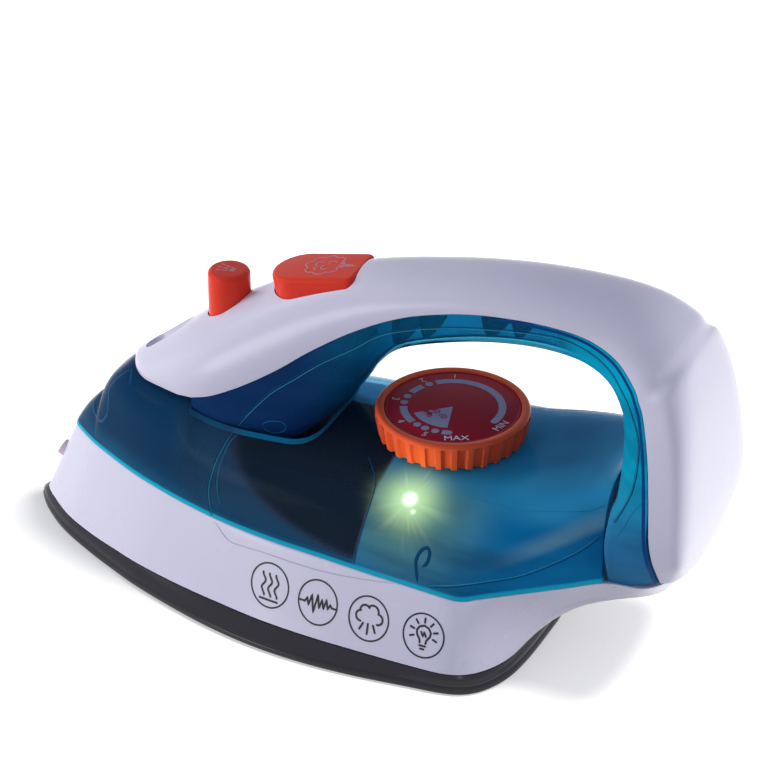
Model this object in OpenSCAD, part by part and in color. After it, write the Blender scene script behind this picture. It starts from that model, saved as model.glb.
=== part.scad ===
// Toy steam iron for pretend play.
// X runs from the tip of the sole to the heel, Y across, Z up from the table.
// The origin is on the table under the middle of the length.

/* [Overall] */
// Length from the tip of the sole to the back of the heel
iron_length = 220; // [212:1:228]
// Width of the sole plate at its widest
sole_width = 99.4; // [97:0.2:104]
// Height from the table to the top of the handle
iron_height = 116.6; // [115:0.2:119]

/* [Shells] */
// Wall of the moulded shells
wall = 1.8; // [1.6:0.1:2]
// Gap left where one shell seats on another
seat_gap = 0.3; // [0.2:0.05:0.4]
// Bevel round the underside of the sole plate
sole_bevel = 0.8; // [0.4:0.1:1]
// Radius of the screw pillars inside the body
pillar_radius = 3.4; // [3:0.1:3.8]

/* [Dial] */
// Radius of the dial over its ribs at the top
dial_radius = 22.6; // [20:0.2:23]
// Height of the dial
dial_height = 8.6; // [7:0.2:9]
// Number of ribs round the dial
dial_ribs = 30; // [24:2:36]
// Radius of the dial shaft
dial_shaft_radius = 3; // [2.6:0.1:3.4]
// Running clearance round shafts and stems
running_fit = 0.08; // [0.05:0.01:0.1]

/* [Buttons] */
// Radius of the round button
spray_radius = 6.3; // [5.6:0.1:6.6]
// Travel of the round button
spray_travel = 4; // [3:0.25:4.5]
// Length of the leaf shaped button
steam_length = 29; // [26:0.5:30]
// Width of the leaf shaped button
steam_width = 18; // [16:0.5:18.5]
// Travel of the leaf shaped button
steam_travel = 3; // [2:0.25:3]
// Guide clearance round the buttons
button_gap = 0.35; // [0.3:0.05:0.45]

/* [Power] */
// Diameter of one AA cell
cell_diameter = 14.2; // [13.8:0.1:14.4]
// Length of one AA cell without its positive nub
cell_length = 49.2; // [48.6:0.1:49.4]
// Wall of the cell tray
tray_wall = 1.6; // [1.4:0.1:1.8]
// Diameter of the speaker
speaker_diameter = 36; // [32:1:38]
// Diameter of the lamp
lamp_diameter = 5; // [4.6:0.1:5.2]

/* [Hidden] */

// Everything below is drawn at this scale, taken from the length
half_length = iron_length / 2;
half_width = sole_width / 2;
over = 0.6;
snug = 0.05;

// Outlines from the tip to the back, one side: shares of half length, half width and height
sole_edge_shares = [
    [-1, 0], [-0.987, 0.06], [-0.937, 0.185], [-0.851, 0.34], [-0.735, 0.489], [-0.631, 0.604],
    [-0.532, 0.704], [-0.385, 0.823], [-0.245, 0.915], [-0.103, 0.976], [0.045, 1], [0.184, 0.992],
    [0.317, 0.964], [0.416, 0.942], [0.468, 0.909], [0.504, 0.853], [0.53, 0.777], [0.549, 0.69],
    [0.562, 0.594], [0.57, 0.483], [0.575, 0.372], [0.578, 0.252], [0.58, 0.131], [0.582, 0]
];
sole_top_shares = [
    [-0.975, 0, 0.038], [-0.966, 0.06, 0.039], [-0.921, 0.163, 0.041], [-0.835, 0.32, 0.045],
    [-0.733, 0.449, 0.048], [-0.633, 0.551, 0.051], [-0.535, 0.638, 0.052], [-0.396, 0.732, 0.053],
    [-0.26, 0.801, 0.053], [-0.115, 0.863, 0.053], [0.032, 0.897, 0.053], [0.169, 0.911, 0.053],
    [0.308, 0.92, 0.053], [0.404, 0.918, 0.053], [0.455, 0.893, 0.053], [0.49, 0.843, 0.053],
    [0.518, 0.771, 0.053], [0.54, 0.684, 0.053], [0.555, 0.584, 0.053], [0.564, 0.473, 0.053],
    [0.57, 0.362, 0.053], [0.574, 0.252, 0.053], [0.575, 0.131, 0.053], [0.576, 0, 0.053]
];
seam_shares = [
    [-0.871, 0, 0.262], [-0.864, 0.052, 0.261], [-0.829, 0.117, 0.26], [-0.768, 0.209, 0.259],
    [-0.691, 0.302, 0.258], [-0.6, 0.402, 0.256], [-0.509, 0.487, 0.256], [-0.386, 0.579, 0.254],
    [-0.259, 0.654, 0.253], [-0.115, 0.704, 0.25], [0.032, 0.734, 0.248], [0.169, 0.757, 0.244],
    [0.305, 0.779, 0.242], [0.4, 0.793, 0.24], [0.445, 0.785, 0.24], [0.491, 0.769, 0.255],
    [0.555, 0.736, 0.273], [0.627, 0.688, 0.29], [0.705, 0.616, 0.304], [0.791, 0.503, 0.31],
    [0.882, 0.445, 0.304], [0.945, 0.385, 0.328], [0.98, 0.25, 0.34], [0.989, 0, 0.343]
];
// Lower edge of the tail, from the rear corner to the middle of the back
flute_shares = [
    [0.46, 0.861, 0.081], [0.496, 0.777, 0.122], [0.555, 0.644, 0.161], [0.627, 0.501, 0.19],
    [0.705, 0.378, 0.204], [0.777, 0.294, 0.208], [0.832, 0.233, 0.208], [0.868, 0.161, 0.206],
    [0.889, 0.08, 0.204], [0.895, 0, 0.203]
];
// Crest of the tank: place along the length, height, squareness of the section
dome_shares = [
    [-0.87, 0.265, 2], [-0.859, 0.288, 2], [-0.829, 0.331, 2.1], [-0.793, 0.369, 2.2],
    [-0.767, 0.388, 2.3], [-0.759, 0.408, 2.5], [-0.743, 0.441, 2.8], [-0.713, 0.475, 3.2],
    [-0.667, 0.502, 3.6], [-0.6, 0.506, 4.6], [-0.509, 0.511, 4.8], [-0.427, 0.513, 4.5],
    [-0.364, 0.501, 3.5], [-0.282, 0.491, 3.1], [-0.182, 0.489, 3.1], [-0.055, 0.492, 3.15],
    [0.109, 0.495, 3.1], [0.273, 0.495, 3.2], [0.4, 0.495, 3.35], [0.445, 0.495, 3.6],
    [0.491, 0.496, 4.1], [0.573, 0.508, 4.7], [0.673, 0.528, 5.2], [0.74, 0.549, 5], [0.779, 0.576, 4.6]
];
// Front lip of the cover: parting x z, top x z, half width, squareness
visor_shares = [
    [-0.665, 0.515, -0.67, 0.522, 0.03, 2.1], [-0.651, 0.512, -0.662, 0.532, 0.101, 2.1],
    [-0.631, 0.51, -0.645, 0.544, 0.173, 2.1], [-0.591, 0.509, -0.614, 0.566, 0.245, 2.1],
    [-0.527, 0.515, -0.559, 0.607, 0.31, 2.1], [-0.464, 0.519, -0.505, 0.648, 0.36, 2.1]
];
// Handle: parting x z, top x z, underside x z, half width, squareness above and below
handle_shares = [
    [-0.418, 0.526, -0.455, 0.684, -0.418, 0.408, 0.382, 2.1, 5],
    [-0.364, 0.544, -0.405, 0.715, -0.364, 0.408, 0.392, 2.1, 5],
    [-0.3, 0.575, -0.35, 0.749, -0.295, 0.408, 0.386, 2.1, 5],
    [-0.227, 0.617, -0.286, 0.786, -0.223, 0.410, 0.368, 2.1, 5],
    [-0.155, 0.665, -0.223, 0.82, -0.15, 0.425, 0.346, 2.1, 4.6],
    [-0.095, 0.71, -0.164, 0.848, -0.082, 0.477, 0.326, 2.1, 3.8],
    [-0.036, 0.75, -0.105, 0.874, -0.023, 0.532, 0.308, 2.1, 3],
    [0.018, 0.784, -0.045, 0.898, 0.027, 0.603, 0.294, 2.1, 2.7],
    [0.077, 0.817, 0.018, 0.919, 0.073, 0.669, 0.284, 2.1, 2.6],
    [0.141, 0.848, 0.091, 0.937, 0.132, 0.723, 0.278, 2.1, 2.5],
    [0.218, 0.877, 0.186, 0.956, 0.218, 0.759, 0.274, 2.1, 2.5],
    [0.345, 0.909, 0.336, 0.981, 0.355, 0.797, 0.274, 2.1, 2.5],
    [0.473, 0.925, 0.491, 0.997, 0.482, 0.818, 0.28, 2.1, 2.5],
    [0.591, 0.929, 0.627, 1, 0.582, 0.822, 0.29, 2.15, 2.5],
    [0.686, 0.919, 0.741, 0.995, 0.664, 0.809, 0.302, 2.2, 2.5],
    [0.764, 0.889, 0.827, 0.973, 0.727, 0.774, 0.332, 2.4, 2.5],
    [0.818, 0.839, 0.897, 0.933, 0.764, 0.716, 0.374, 2.6, 2.5],
    [0.838, 0.806, 0.926, 0.898, 0.77, 0.683, 0.398, 2.8, 2.55],
    [0.855, 0.77, 0.945, 0.856, 0.775, 0.648, 0.423, 4.8, 2.6],
    [0.88, 0.678, 0.974, 0.746, 0.782, 0.575, 0.483, 6.5, 3.4],
    [0.897, 0.575, 0.992, 0.613, 0.785, 0.51, 0.539, 8, 5],
    [0.908, 0.485, 1, 0.489, 0.786, 0.442, 0.578, 9, 7],
    [0.916, 0.425, 0.999, 0.429, 0.787, 0.386, 0.56, 9, 8],
    [0.922, 0.377, 0.996, 0.384, 0.787, 0.334, 0.508, 5, 8],
    [0.927, 0.334, 0.991, 0.347, 0.787, 0.283, 0.45, 2.9, 8]
];

// Smooth curve through the rows of a table
function row(t, i) = t[max(0, min(len(t) - 1, i))];
function between(a, b, c, d, t) =
    0.5 * (2 * b + (c - a) * t + (2 * a - 5 * b + 4 * c - d) * t * t + (3 * b - a - 3 * c + d) * t * t * t);
function smooth(t, n) = concat(
    [for (i = [0:len(t) - 2]) for (j = [0:n - 1])
        between(row(t, i - 1), row(t, i), row(t, i + 1), row(t, i + 2), j / n)],
    [t[len(t) - 1]]);
function place(s) = [s[0] * half_length, max(0, s[1]) * half_width, s[2] * iron_height];
function mirrored(p) = [p[0], -p[1], p[2]];
// One side of an outline made into a closed ring
function ringed(side) = concat(side, [for (i = [len(side) - 2:-1:1]) mirrored(side[i])]);
function unit_of(v) = v / max(norm(v), 0.000001);
// A ring moved inward in plan by d and up by h
function inset(ring, d, h = 0) = [for (i = [0:len(ring) - 1])
    let (n = len(ring), a = ring[(i + n - 1) % n], b = ring[(i + 1) % n], t = unit_of([b[0] - a[0], b[1] - a[1]]))
    ring[i] + [t[1] * d, -t[0] * d, h]];
function blend(a, b, t) = [for (i = [0:len(a) - 1]) a[i] + (b[i] - a[i]) * t];

// A solid skinned over rings of the same count
// mode 0 closes the rings on themselves, 1 caps flat ends by mirrored pairs, 2 caps arch sections
module skin(rings, mode) {
    n = len(rings[0]);
    count = len(rings);
    last = mode == 0 ? count - 1 : count - 2;
    sides = [for (r = [0:last]) for (j = [0:n - 1])
        let (a = r * n + j, b = r * n + (j + 1) % n, c = ((r + 1) % count) * n + (j + 1) % n,
            d = ((r + 1) % count) * n + j)
        each [[a, b, c], [a, c, d]]];
    e = (count - 1) * n;
    half = n / 2;
    caps = mode == 1 ? concat(
            [for (j = [0:half - 1]) each [[j, (n - j) % n, n - j - 1], [j, n - j - 1, j + 1]]],
            [for (j = [0:half - 1]) each [[e + j, e + n - j - 1, e + (n - j) % n], [e + j, e + j + 1, e + n - j - 1]]])
        : mode == 2 ? concat(
            [for (j = [0:half - 2]) each [[j, n - 1 - j, n - 2 - j], [j, n - 2 - j, j + 1]]],
            [for (j = [0:half - 2]) each [[e + j, e + n - 2 - j, e + n - 1 - j], [e + j, e + j + 1, e + n - 2 - j]]])
        : [];
    polyhedron(points = [for (ring = rings) each ring],
        faces = [for (f = concat(sides, caps)) if (f[0] != f[1] && f[1] != f[2] && f[0] != f[2]) f]);
}

// Outlines used by more than one shell
ring_steps = 3;
sole_ring = ringed([for (p = smooth([for (s = sole_edge_shares) [s[0], s[1], 0]], ring_steps)) place(p)]);
top_side = [for (p = smooth(sole_top_shares, ring_steps)) place(p)];
top_ring = ringed(top_side);
seam_side = [for (p = smooth(seam_shares, ring_steps)) place(p)];
seam_ring = ringed(seam_side);
flute_start = len(top_side) - (len(flute_shares) - 1) * ring_steps - 1;
flute_tail = [for (p = smooth(flute_shares, ring_steps)) place(p)];
flute_share = 0.16;
flute_side = [for (i = [0:len(top_side) - 1]) i >= flute_start ? flute_tail[i - flute_start]
    : top_side[i] + (seam_side[i] - top_side[i]) * flute_share];
flute_ring = ringed(flute_side);
cove_depth = 0.022 * half_length;
// 1 at the tail, 0 along the sides
function tail_of(i) = let (n = len(top_ring), k = min(i, n - i)) max(0, min(1, (k - flute_start) / ring_steps / 4));

skirt_foot = [for (p = top_ring) p + [0, 0, seat_gap]];
cove_ring = [for (i = [0:len(top_ring) - 1]) (skirt_foot[i] + flute_ring[i]) / 2
    + unit_of(flute_ring[i] - skirt_foot[i]) * 0 + [-cove_depth * tail_of(i), 0, cove_depth * tail_of(i)]];
skirt_rings = concat([skirt_foot, cove_ring, flute_ring], [for (t = [0.5, 1]) blend(flute_ring, seam_ring, t)],
    [for (t = [1, 0.5, 0]) inset(blend(flute_ring, seam_ring, t), wall)], [inset(cove_ring, wall), inset(skirt_foot, wall)]);

// The tank section at a place along the length
seam_y = [for (p = seam_side) [p[0], p[1]]];
seam_z = [for (p = seam_side) [p[0], p[2]]];
dome_rows = [for (s = smooth(dome_shares, 2)) [s[0] * half_length, s[1] * iron_height, s[2]]];
crest = [for (r = dome_rows) [r[0], r[1]]];
square = [for (r = dome_rows) [r[0], r[2]]];
arch_steps = 10;
function arc_share(k, n) = [sign(cos(k)) * pow(abs(cos(k)), 2 / n), pow(abs(sin(k)), 2 / n)];
function dome_arc(x, w, z0, z1, n) = [for (k = [0:arch_steps])
    let (s = arc_share(k * 180 / arch_steps, n)) [x, -w * s[0], z0 + (z1 - z0) * s[1]]];
// Height of the tank's skin at a place beside the middle
function dome_at(x, y) = let (z0 = lookup(x, seam_z) + seat_gap, n = lookup(x, square))
    z0 + (lookup(x, crest) - z0) * pow(max(0, 1 - pow(y / lookup(x, seam_y), n)), 1 / n);
function reversed(a) = [for (i = [len(a) - 1:-1:0]) a[i]];
function dome_section(r) = let (x = r[0], w = lookup(x, seam_y), z0 = lookup(x, seam_z) + seat_gap,
        back = x - wall, w1 = max(w * 0.2, min(w - wall * 1.15, lookup(back, seam_y))),
        z1 = max(z0 + (r[1] - z0) * 0.2, min(r[1] - wall, lookup(back, crest))))
    concat(dome_arc(x, w, z0, r[1], r[2]), reversed(dome_arc(x, w1, z0, z1, r[2])));

// Handle sections: an arch from rim to rim, side -1 for arches that rise and 1 for those that hang
function handle_arc(c, o, w, n, t, side) = [for (k = [0:arch_steps])
    let (s = arc_share(k * 180 / arch_steps, n), d = o - c, h = norm(d))
    c + [0, side * max(w * 0.2, w - t) * s[0], 0] + d * (max(h * 0.2, h - t) / h) * s[1]];
function arch_section(c, o, w, n, side) =
    concat(handle_arc(c, o, w, n, 0, side), reversed(handle_arc(c, o, w, n, wall, side)));
function at_x(x, z) = [x * half_length, 0, z * iron_height];
visor_rows = [for (s = visor_shares) [at_x(s[0], s[1]), at_x(s[2], s[3]), s[4] * half_width, s[5]]];
handle_rows = [for (s = smooth(handle_shares, 2))
    [at_x(s[0], s[1]), at_x(s[2], s[3]), at_x(s[4], s[5]), s[6] * half_width, s[7], s[8]]];

tank_colour = [0.13, 0.5, 0.62];
shell_colour = [0.84, 0.84, 0.9];
red_colour = [0.93, 0.3, 0.17];
dark_colour = [0.12, 0.13, 0.2];

// Places of the working parts
dial_x = 0.267 * half_length;
dial_seat = lookup(dial_x, crest);
dial_rim = dial_radius * 0.88;
spray_x = -0.382 * half_length;
spray_top = 0.821 * iron_height;
spray_base = 0.641 * iron_height;
spray_length = spray_top - spray_base;
steam_x = 0.011 * half_length;
steam_top = 0.911 * iron_height;
steam_tilt = 12;
steam_depth = 0.1063 * iron_height;
steam_centre = -0.43 * steam_length;
steam_corner = 2.4;
flange = 1.4;
stem_radius = 1.8;
stem_length = 2.4;
nozzle_x = -0.921 * half_length;
nozzle_z = 0.162 * iron_height;
nozzle_radius = 2.5;
nozzle_tilt = -62;
shaft_drop = 3;
screw_bite = 4;
collar_drop = 2.7;
collar_wall = 2.6;
dial_recess = 1.6;
disc_thick = 1.2;

// Screws
screw_radius = 1.25;
head_radius = 2.6;
head_height = 1.8;
head_lift = 1.4;
screw_length = 15;
pillar_places = [[0.4 * half_length, 0.543 * half_width], [-0.527 * half_length, 0.262 * half_width]];

// Cells, tray and door, stacked up from the table
deck = max([for (p = top_side) p[2]]);
door_lift = 0.2;
door_thick = 2.2;
door_hook = 2.4;
door_tab = 5.6;
door_side = 2;
door_pocket = 1.2;
cell_rest = 0.8;
cell_gap = 0.4;
cell_nub = 1;
contact_room = 2.4;
tray_head = 1.7;
tray_x = -0.136 * half_length;
tray_foot = deck + seat_gap;
cell_pitch = cell_diameter + cell_gap;
cell_z = door_lift + door_thick + cell_rest + cell_diameter / 2;
tray_inside = [cell_length + 2 * contact_room, 3 * cell_diameter + 4 * cell_gap,
    cell_z + cell_diameter / 2 + tray_head - tray_foot];
tray_top = tray_foot + tray_inside[2] + tray_wall;
door_size = [tray_inside[0] + door_hook + door_tab, tray_inside[1] + 2 * door_side, door_thick];
door_x = tray_x + (door_tab - door_hook) / 2;
door_screw_x = door_x + door_size[0] / 2 - head_radius;

// Case for the circuit over the tray, with the lamp on its end
case_length = 56;
case_width = 42;
case_wall = 1.4;
case_foot = tray_top + seat_gap;
case_top = 0.3945 * iron_height;
case_size = [case_length, case_width, case_top - case_foot];
case_x = -0.132 * half_length;
board = 1.6;
board_lift = 4;
board_foot = case_foot + board_lift;
lamp_side = 8;
lamp_place = [case_x + case_length / 2, -lamp_side, 0.313 * iron_height];
speaker_room = 8.4;
speaker_x = tray_x + tray_inside[0] / 2 + tray_wall + speaker_room + speaker_diameter / 2;
speaker_z = deck + seat_gap;
speaker_rim = 3;
speaker_magnet = 8.6;
lead_y = 12;
lead_pitch = 2.4;
lead_gate = 6;
lead_gate_height = 5;
lead_hole = 1.5;
tail_inset = 4.1;
tail_x = case_x - case_length / 2 + case_wall + tail_inset;

// Switches on their bracket, with the springs round them
plate_top = 0.549 * iron_height;
steam_plate_top = -0.2058 * iron_height;
plate = 1.6;
shelf = 8;
bracket_reach = 9;
switch_radius = 2.9;
switch_step = 1;
spring_radius = 4.2;
spring_wire = 0.45;

module at_pillars() {
    for (p = pillar_places) for (side = [-1, 1]) translate([p[0], side * p[1], 0]) children();
}

module at_steam() {
    translate([steam_x, 0, steam_top]) rotate([0, -steam_tilt, 0]) children();
}

// Outline of the leaf shaped button: round at the front, square at the back, drawn in by d
module steam_outline(d) {
    r = steam_width / 2 - d;
    corner = steam_corner;
    tip = -steam_length + steam_width / 2;
    polygon(concat([for (a = [90:10:270]) [tip + r * cos(a), r * sin(a)]],
        [for (a = [-90:30:0]) [-corner + (corner - d) * cos(a), -r + corner - d + (corner - d) * sin(a)]],
        [for (a = [0:30:90]) [-corner + (corner - d) * cos(a), r - corner + d + (corner - d) * sin(a)]]));
}

// Coil spring standing on z = 0
module coil(height, turns) {
    steps = 12;
    sides = 6;
    rise = height - 2 * spring_wire;
    skin([for (i = [0:steps * turns]) let (a = i * 360 / steps)
        [for (k = [0:sides - 1]) let (b = -k * 360 / sides, r = spring_radius + spring_wire * cos(b))
            [r * cos(a), r * sin(a), spring_wire + rise * i / (steps * turns) + spring_wire * sin(b)]]], 1);
}

// Thin lead swept along a smooth route
module lead(points, r) {
    route = smooth(points, 3);
    last = len(route) - 1;
    skin([for (i = [0:last]) let (t = unit_of(route[min(i + 1, last)] - route[max(i - 1, 0)]),
        s = unit_of(cross([0, 0, 1], t)), u = cross(t, s))
        [for (a = [0:-45:-315]) route[i] + r * (cos(a) * s + sin(a) * u)]], 1);
}

// Round bar through a list of points, with balls at the bends and on request at the ends
module wire(points, r, ends = false) {
    for (i = [0:len(points) - 2]) let (v = points[i + 1] - points[i], h = norm(v))
        translate(points[i]) rotate([0, acos(v[2] / h), atan2(v[1], v[0])]) cylinder(h = h, r = r, $fn = 16);
    for (i = [0:len(points) - 1]) if (ends || (i > 0 && i < len(points) - 1)) translate(points[i]) sphere(r = r, $fn = 16);
}

module sole_plate() {
    color(dark_colour)
    difference() {
        skin([[for (p = inset(sole_ring, sole_bevel)) p], [for (p = sole_ring) p + [0, 0, sole_bevel]],
            [for (p = sole_ring) p + [0, 0, sole_bevel * 2]], top_ring], 1);
        translate([door_x - door_size[0] / 2 - seat_gap, -door_size[1] / 2 - seat_gap, -over])
            cube([door_size[0] + 2 * seat_gap, door_size[1] + 2 * seat_gap, door_size[2] + door_lift + snug + over]);
        translate([tray_x - tray_inside[0] / 2, -tray_inside[1] / 2, 0])
            cube([tray_inside[0], tray_inside[1], tray_foot + over]);
        translate([door_screw_x, 0, 0]) cylinder(h = tray_foot + over, r = screw_radius + snug, $fn = 24);
        at_pillars() {
            translate([0, 0, -over]) cylinder(h = head_lift + head_height + snug + over, r = head_radius + seat_gap, $fn = 32);
            cylinder(h = tray_foot + over, r = screw_radius + seat_gap, $fn = 24);
        }
        for (a = [0:60:300]) translate([speaker_x + speaker_diameter * 0.24 * cos(a), speaker_diameter * 0.24 * sin(a), -over])
            cylinder(h = tray_foot + 2 * over, r = speaker_diameter * 0.045, $fn = 24);
        translate([speaker_x, 0, -over]) cylinder(h = tray_foot + 2 * over, r = speaker_diameter * 0.045, $fn = 24);
    }
}

module lower_skirt() {
    color(shell_colour)
    difference() {
        skin(skirt_rings, 0);
        translate([nozzle_x, 0, nozzle_z]) rotate([0, nozzle_tilt, 0])
            translate([0, 0, -nozzle_radius * 3]) cylinder(h = nozzle_radius * 5, r = nozzle_radius + running_fit, $fn = 40);
    }
}

module spray_nozzle() {
    color([0.9, 0.82, 0.86])
    difference() {
        translate([nozzle_x, 0, nozzle_z]) rotate([0, nozzle_tilt, 0])
            translate([0, 0, -nozzle_radius * 1.2]) cylinder(h = nozzle_radius * 1.6, r = nozzle_radius, $fn = 40);
        translate([nozzle_x, 0, nozzle_z]) rotate([0, nozzle_tilt, 0])
            cylinder(h = nozzle_radius * 2, r = nozzle_radius * 0.3, $fn = 20);
    }
}

module tank_shell() {
    slot_front = -0.42 * half_length;
    slot_back = -0.053 * half_length;
    slot_half = 0.398 * half_width;
    slot_round = slot_half * 0.7;
    color(tank_colour)
    difference() {
        union() {
            skin([for (r = dome_rows) dome_section(r)], 2);
            for (p = pillar_places) for (side = [-1, 1]) translate([p[0], side * p[1], tray_foot])
                cylinder(h = dome_at(p[0], p[1] + pillar_radius) - tray_foot - wall / 4, r = pillar_radius, $fn = 40);
            translate([dial_x, 0, dial_seat - wall - collar_drop])
                cylinder(h = collar_drop + wall / 2, r = dial_shaft_radius + collar_wall, $fn = 48);
        }
        translate([0, 0, case_top + snug]) linear_extrude(height = iron_height * 0.15)
            polygon(concat([[slot_front, -slot_half], [slot_front, slot_half], [slot_back - slot_round, slot_half]],
                [for (a = [15:15:165]) let (s = arc_share(a, 4))
                    [slot_back - slot_round + slot_round * s[1], slot_half * s[0]]],
                [[slot_back - slot_round, -slot_half]]));
        translate([dial_x, 0, dial_seat - 3 * wall]) cylinder(h = 5 * wall, r = dial_shaft_radius + running_fit, $fn = 64);
        at_pillars() translate([0, 0, tray_foot - over]) cylinder(h = screw_length, r = screw_radius + snug, $fn = 24);
    }
}

module handle_frame() {
    open_front = -0.45 * half_length;
    open_back = -0.19 * half_length;
    open_half = 0.29 * half_width;
    color(tank_colour)
    difference() {
        skin([for (r = handle_rows) arch_section(r[0] + unit_of(r[2] - r[0]) * seat_gap, r[2], r[3], r[5], 1)], 2);
        translate([open_front, -open_half, case_top]) cube([open_back - open_front, 2 * open_half, iron_height * 0.1]);
    }
}

module handle_cover() {
    scoop = [[-0.607 * half_length, 0, 0.575 * iron_height], [-0.53 * half_length, 0, 0.628 * iron_height]];
    scoop_radius = 3.2;
    scoop_wall = 1.3;
    slope = atan2(scoop[1][2] - scoop[0][2], scoop[1][0] - scoop[0][0]);
    color(shell_colour)
    difference() {
        union() {
            skin(concat([for (r = visor_rows) arch_section(r[0], r[1], r[2], r[3], -1)],
                [for (r = handle_rows) arch_section(r[0], r[1], r[3], r[4], -1)]), 2);
            intersection() {
                wire(scoop, scoop_radius + scoop_wall, true);
                translate(scoop[0]) rotate([0, -slope, 0])
                    translate([-scoop_radius * 3, -scoop_radius * 2, -scoop_radius * 3 - scoop_wall])
                        cube([scoop_radius * 10, scoop_radius * 4, scoop_radius * 3]);
            }
        }
        translate([spray_x, 0, spray_top - spray_length]) cylinder(h = spray_length, r = spray_radius + button_gap, $fn = 64);
        at_steam() translate([0, 0, -steam_depth]) linear_extrude(height = 2 * steam_depth) steam_outline(-button_gap);
        wire(scoop, scoop_radius, true);
    }
}

module dial_knob() {
    rib = 1.15;
    foot = dial_seat + seat_gap;
    bevel = 0.5;
    rib_shares = [1, 0.87, 0.25, 0, 0, 0, 0.25, 0.87];
    steps = dial_ribs * len(rib_shares);
    color(red_colour)
    difference() {
        union() {
            translate([dial_x, 0, 0]) skin([for (q = [[dial_rim, foot, 0], [dial_radius * 0.94, foot, 1],
                [dial_radius, foot + dial_height - bevel, 1], [dial_radius - bevel, foot + dial_height, 1],
                [dial_rim, foot + dial_height, 0]]) [for (i = [0:steps - 1]) let (a = -i * 360 / steps,
                    r = q[0] - q[2] * rib * (1 - rib_shares[i % len(rib_shares)])) [r * cos(a), r * sin(a), q[1]]]], 0);
            translate([dial_x, 0, foot + snug]) cylinder(h = dial_height - dial_recess - snug, r = dial_rim + 4 * snug, $fn = 96);
            translate([dial_x, 0, dial_seat - wall - shaft_drop])
                cylinder(h = wall + shaft_drop + 2 * seat_gap, r = dial_shaft_radius, $fn = 64);
        }
        translate([dial_x, 0, dial_seat - wall - shaft_drop - over])
            cylinder(h = screw_bite + over, r = screw_radius + snug, $fn = 24);
    }
}

module dial_disc() {
    color([0.45, 0.12, 0.17])
    translate([dial_x, 0, dial_seat + seat_gap + dial_height - dial_recess + snug])
        cylinder(h = disc_thick, r = dial_rim - 2 * snug, $fn = 96);
}

module dial_retainer() {
    top = dial_seat - wall - shaft_drop;
    washer = 1.2;
    reach = 2.2;
    head = 1.4;
    color([0.75, 0.76, 0.78]) {
        translate([dial_x, 0, top - washer]) cylinder(h = washer, r = dial_shaft_radius + reach, $fn = 48);
        translate([dial_x, 0, top - washer - head]) cylinder(h = head + snug, r = head_radius * 0.9, $fn = 32);
        translate([dial_x, 0, top - snug]) cylinder(h = screw_bite - 2 * snug, r = screw_radius, $fn = 24);
    }
}

module spray_button() {
    base = spray_top - spray_length;
    edge = 1.2;
    color(red_colour) {
        translate([spray_x, 0, base]) rotate_extrude($fn = 64)
            polygon([[0, 0], [spray_radius + flange, 0], [spray_radius + flange, flange], [spray_radius, flange],
                [spray_radius, spray_length - edge], [spray_radius - edge * 0.15, spray_length - edge * 0.5],
                [spray_radius - edge * 0.5, spray_length - edge * 0.15], [spray_radius - edge, spray_length],
                [0, spray_length]]);
        translate([spray_x, 0, base - stem_length]) cylinder(h = stem_length + snug, r = stem_radius, $fn = 32);
    }
}

module spray_spring() {
    color([0.75, 0.76, 0.78])
    translate([spray_x, 0, plate_top + snug]) coil(spray_top - spray_length - plate_top - 2 * snug, 5);
}

module spray_switch() {
    tall = spray_top - spray_length - stem_length - spray_travel - plate_top - 2 * seat_gap;
    color([0.2, 0.2, 0.24]) {
        translate([spray_x, 0, plate_top + snug]) cylinder(h = tall - switch_step, r = switch_radius, $fn = 32);
        translate([spray_x, 0, plate_top + snug]) cylinder(h = tall, r = stem_radius * 0.8, $fn = 24);
    }
}

module steam_button() {
    edge = 1;
    color(red_colour)
    at_steam() {
        translate([0, 0, -steam_depth]) linear_extrude(height = steam_depth - edge) steam_outline(0);
        translate([0, 0, -edge]) linear_extrude(height = edge * 0.6) steam_outline(edge * 0.3);
        translate([0, 0, -edge * 0.4]) linear_extrude(height = edge * 0.4) steam_outline(edge * 0.8);
        translate([0, 0, -steam_depth]) linear_extrude(height = flange) steam_outline(-flange);
        translate([steam_centre, 0, -steam_depth - stem_length]) cylinder(h = stem_length + snug, r = stem_radius, $fn = 32);
    }
}

module steam_spring() {
    color([0.75, 0.76, 0.78])
    at_steam() translate([steam_centre, 0, steam_plate_top + snug]) coil(-steam_depth - steam_plate_top - 2 * snug, 5);
}

module steam_switch() {
    tall = -steam_depth - stem_length - steam_travel - steam_plate_top - 2 * seat_gap;
    color([0.2, 0.2, 0.24])
    at_steam() {
        translate([steam_centre, 0, steam_plate_top + snug]) cylinder(h = tall - switch_step, r = switch_radius, $fn = 32);
        translate([steam_centre, 0, steam_plate_top + snug]) cylinder(h = tall, r = stem_radius * 0.8, $fn = 24);
    }
}

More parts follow.
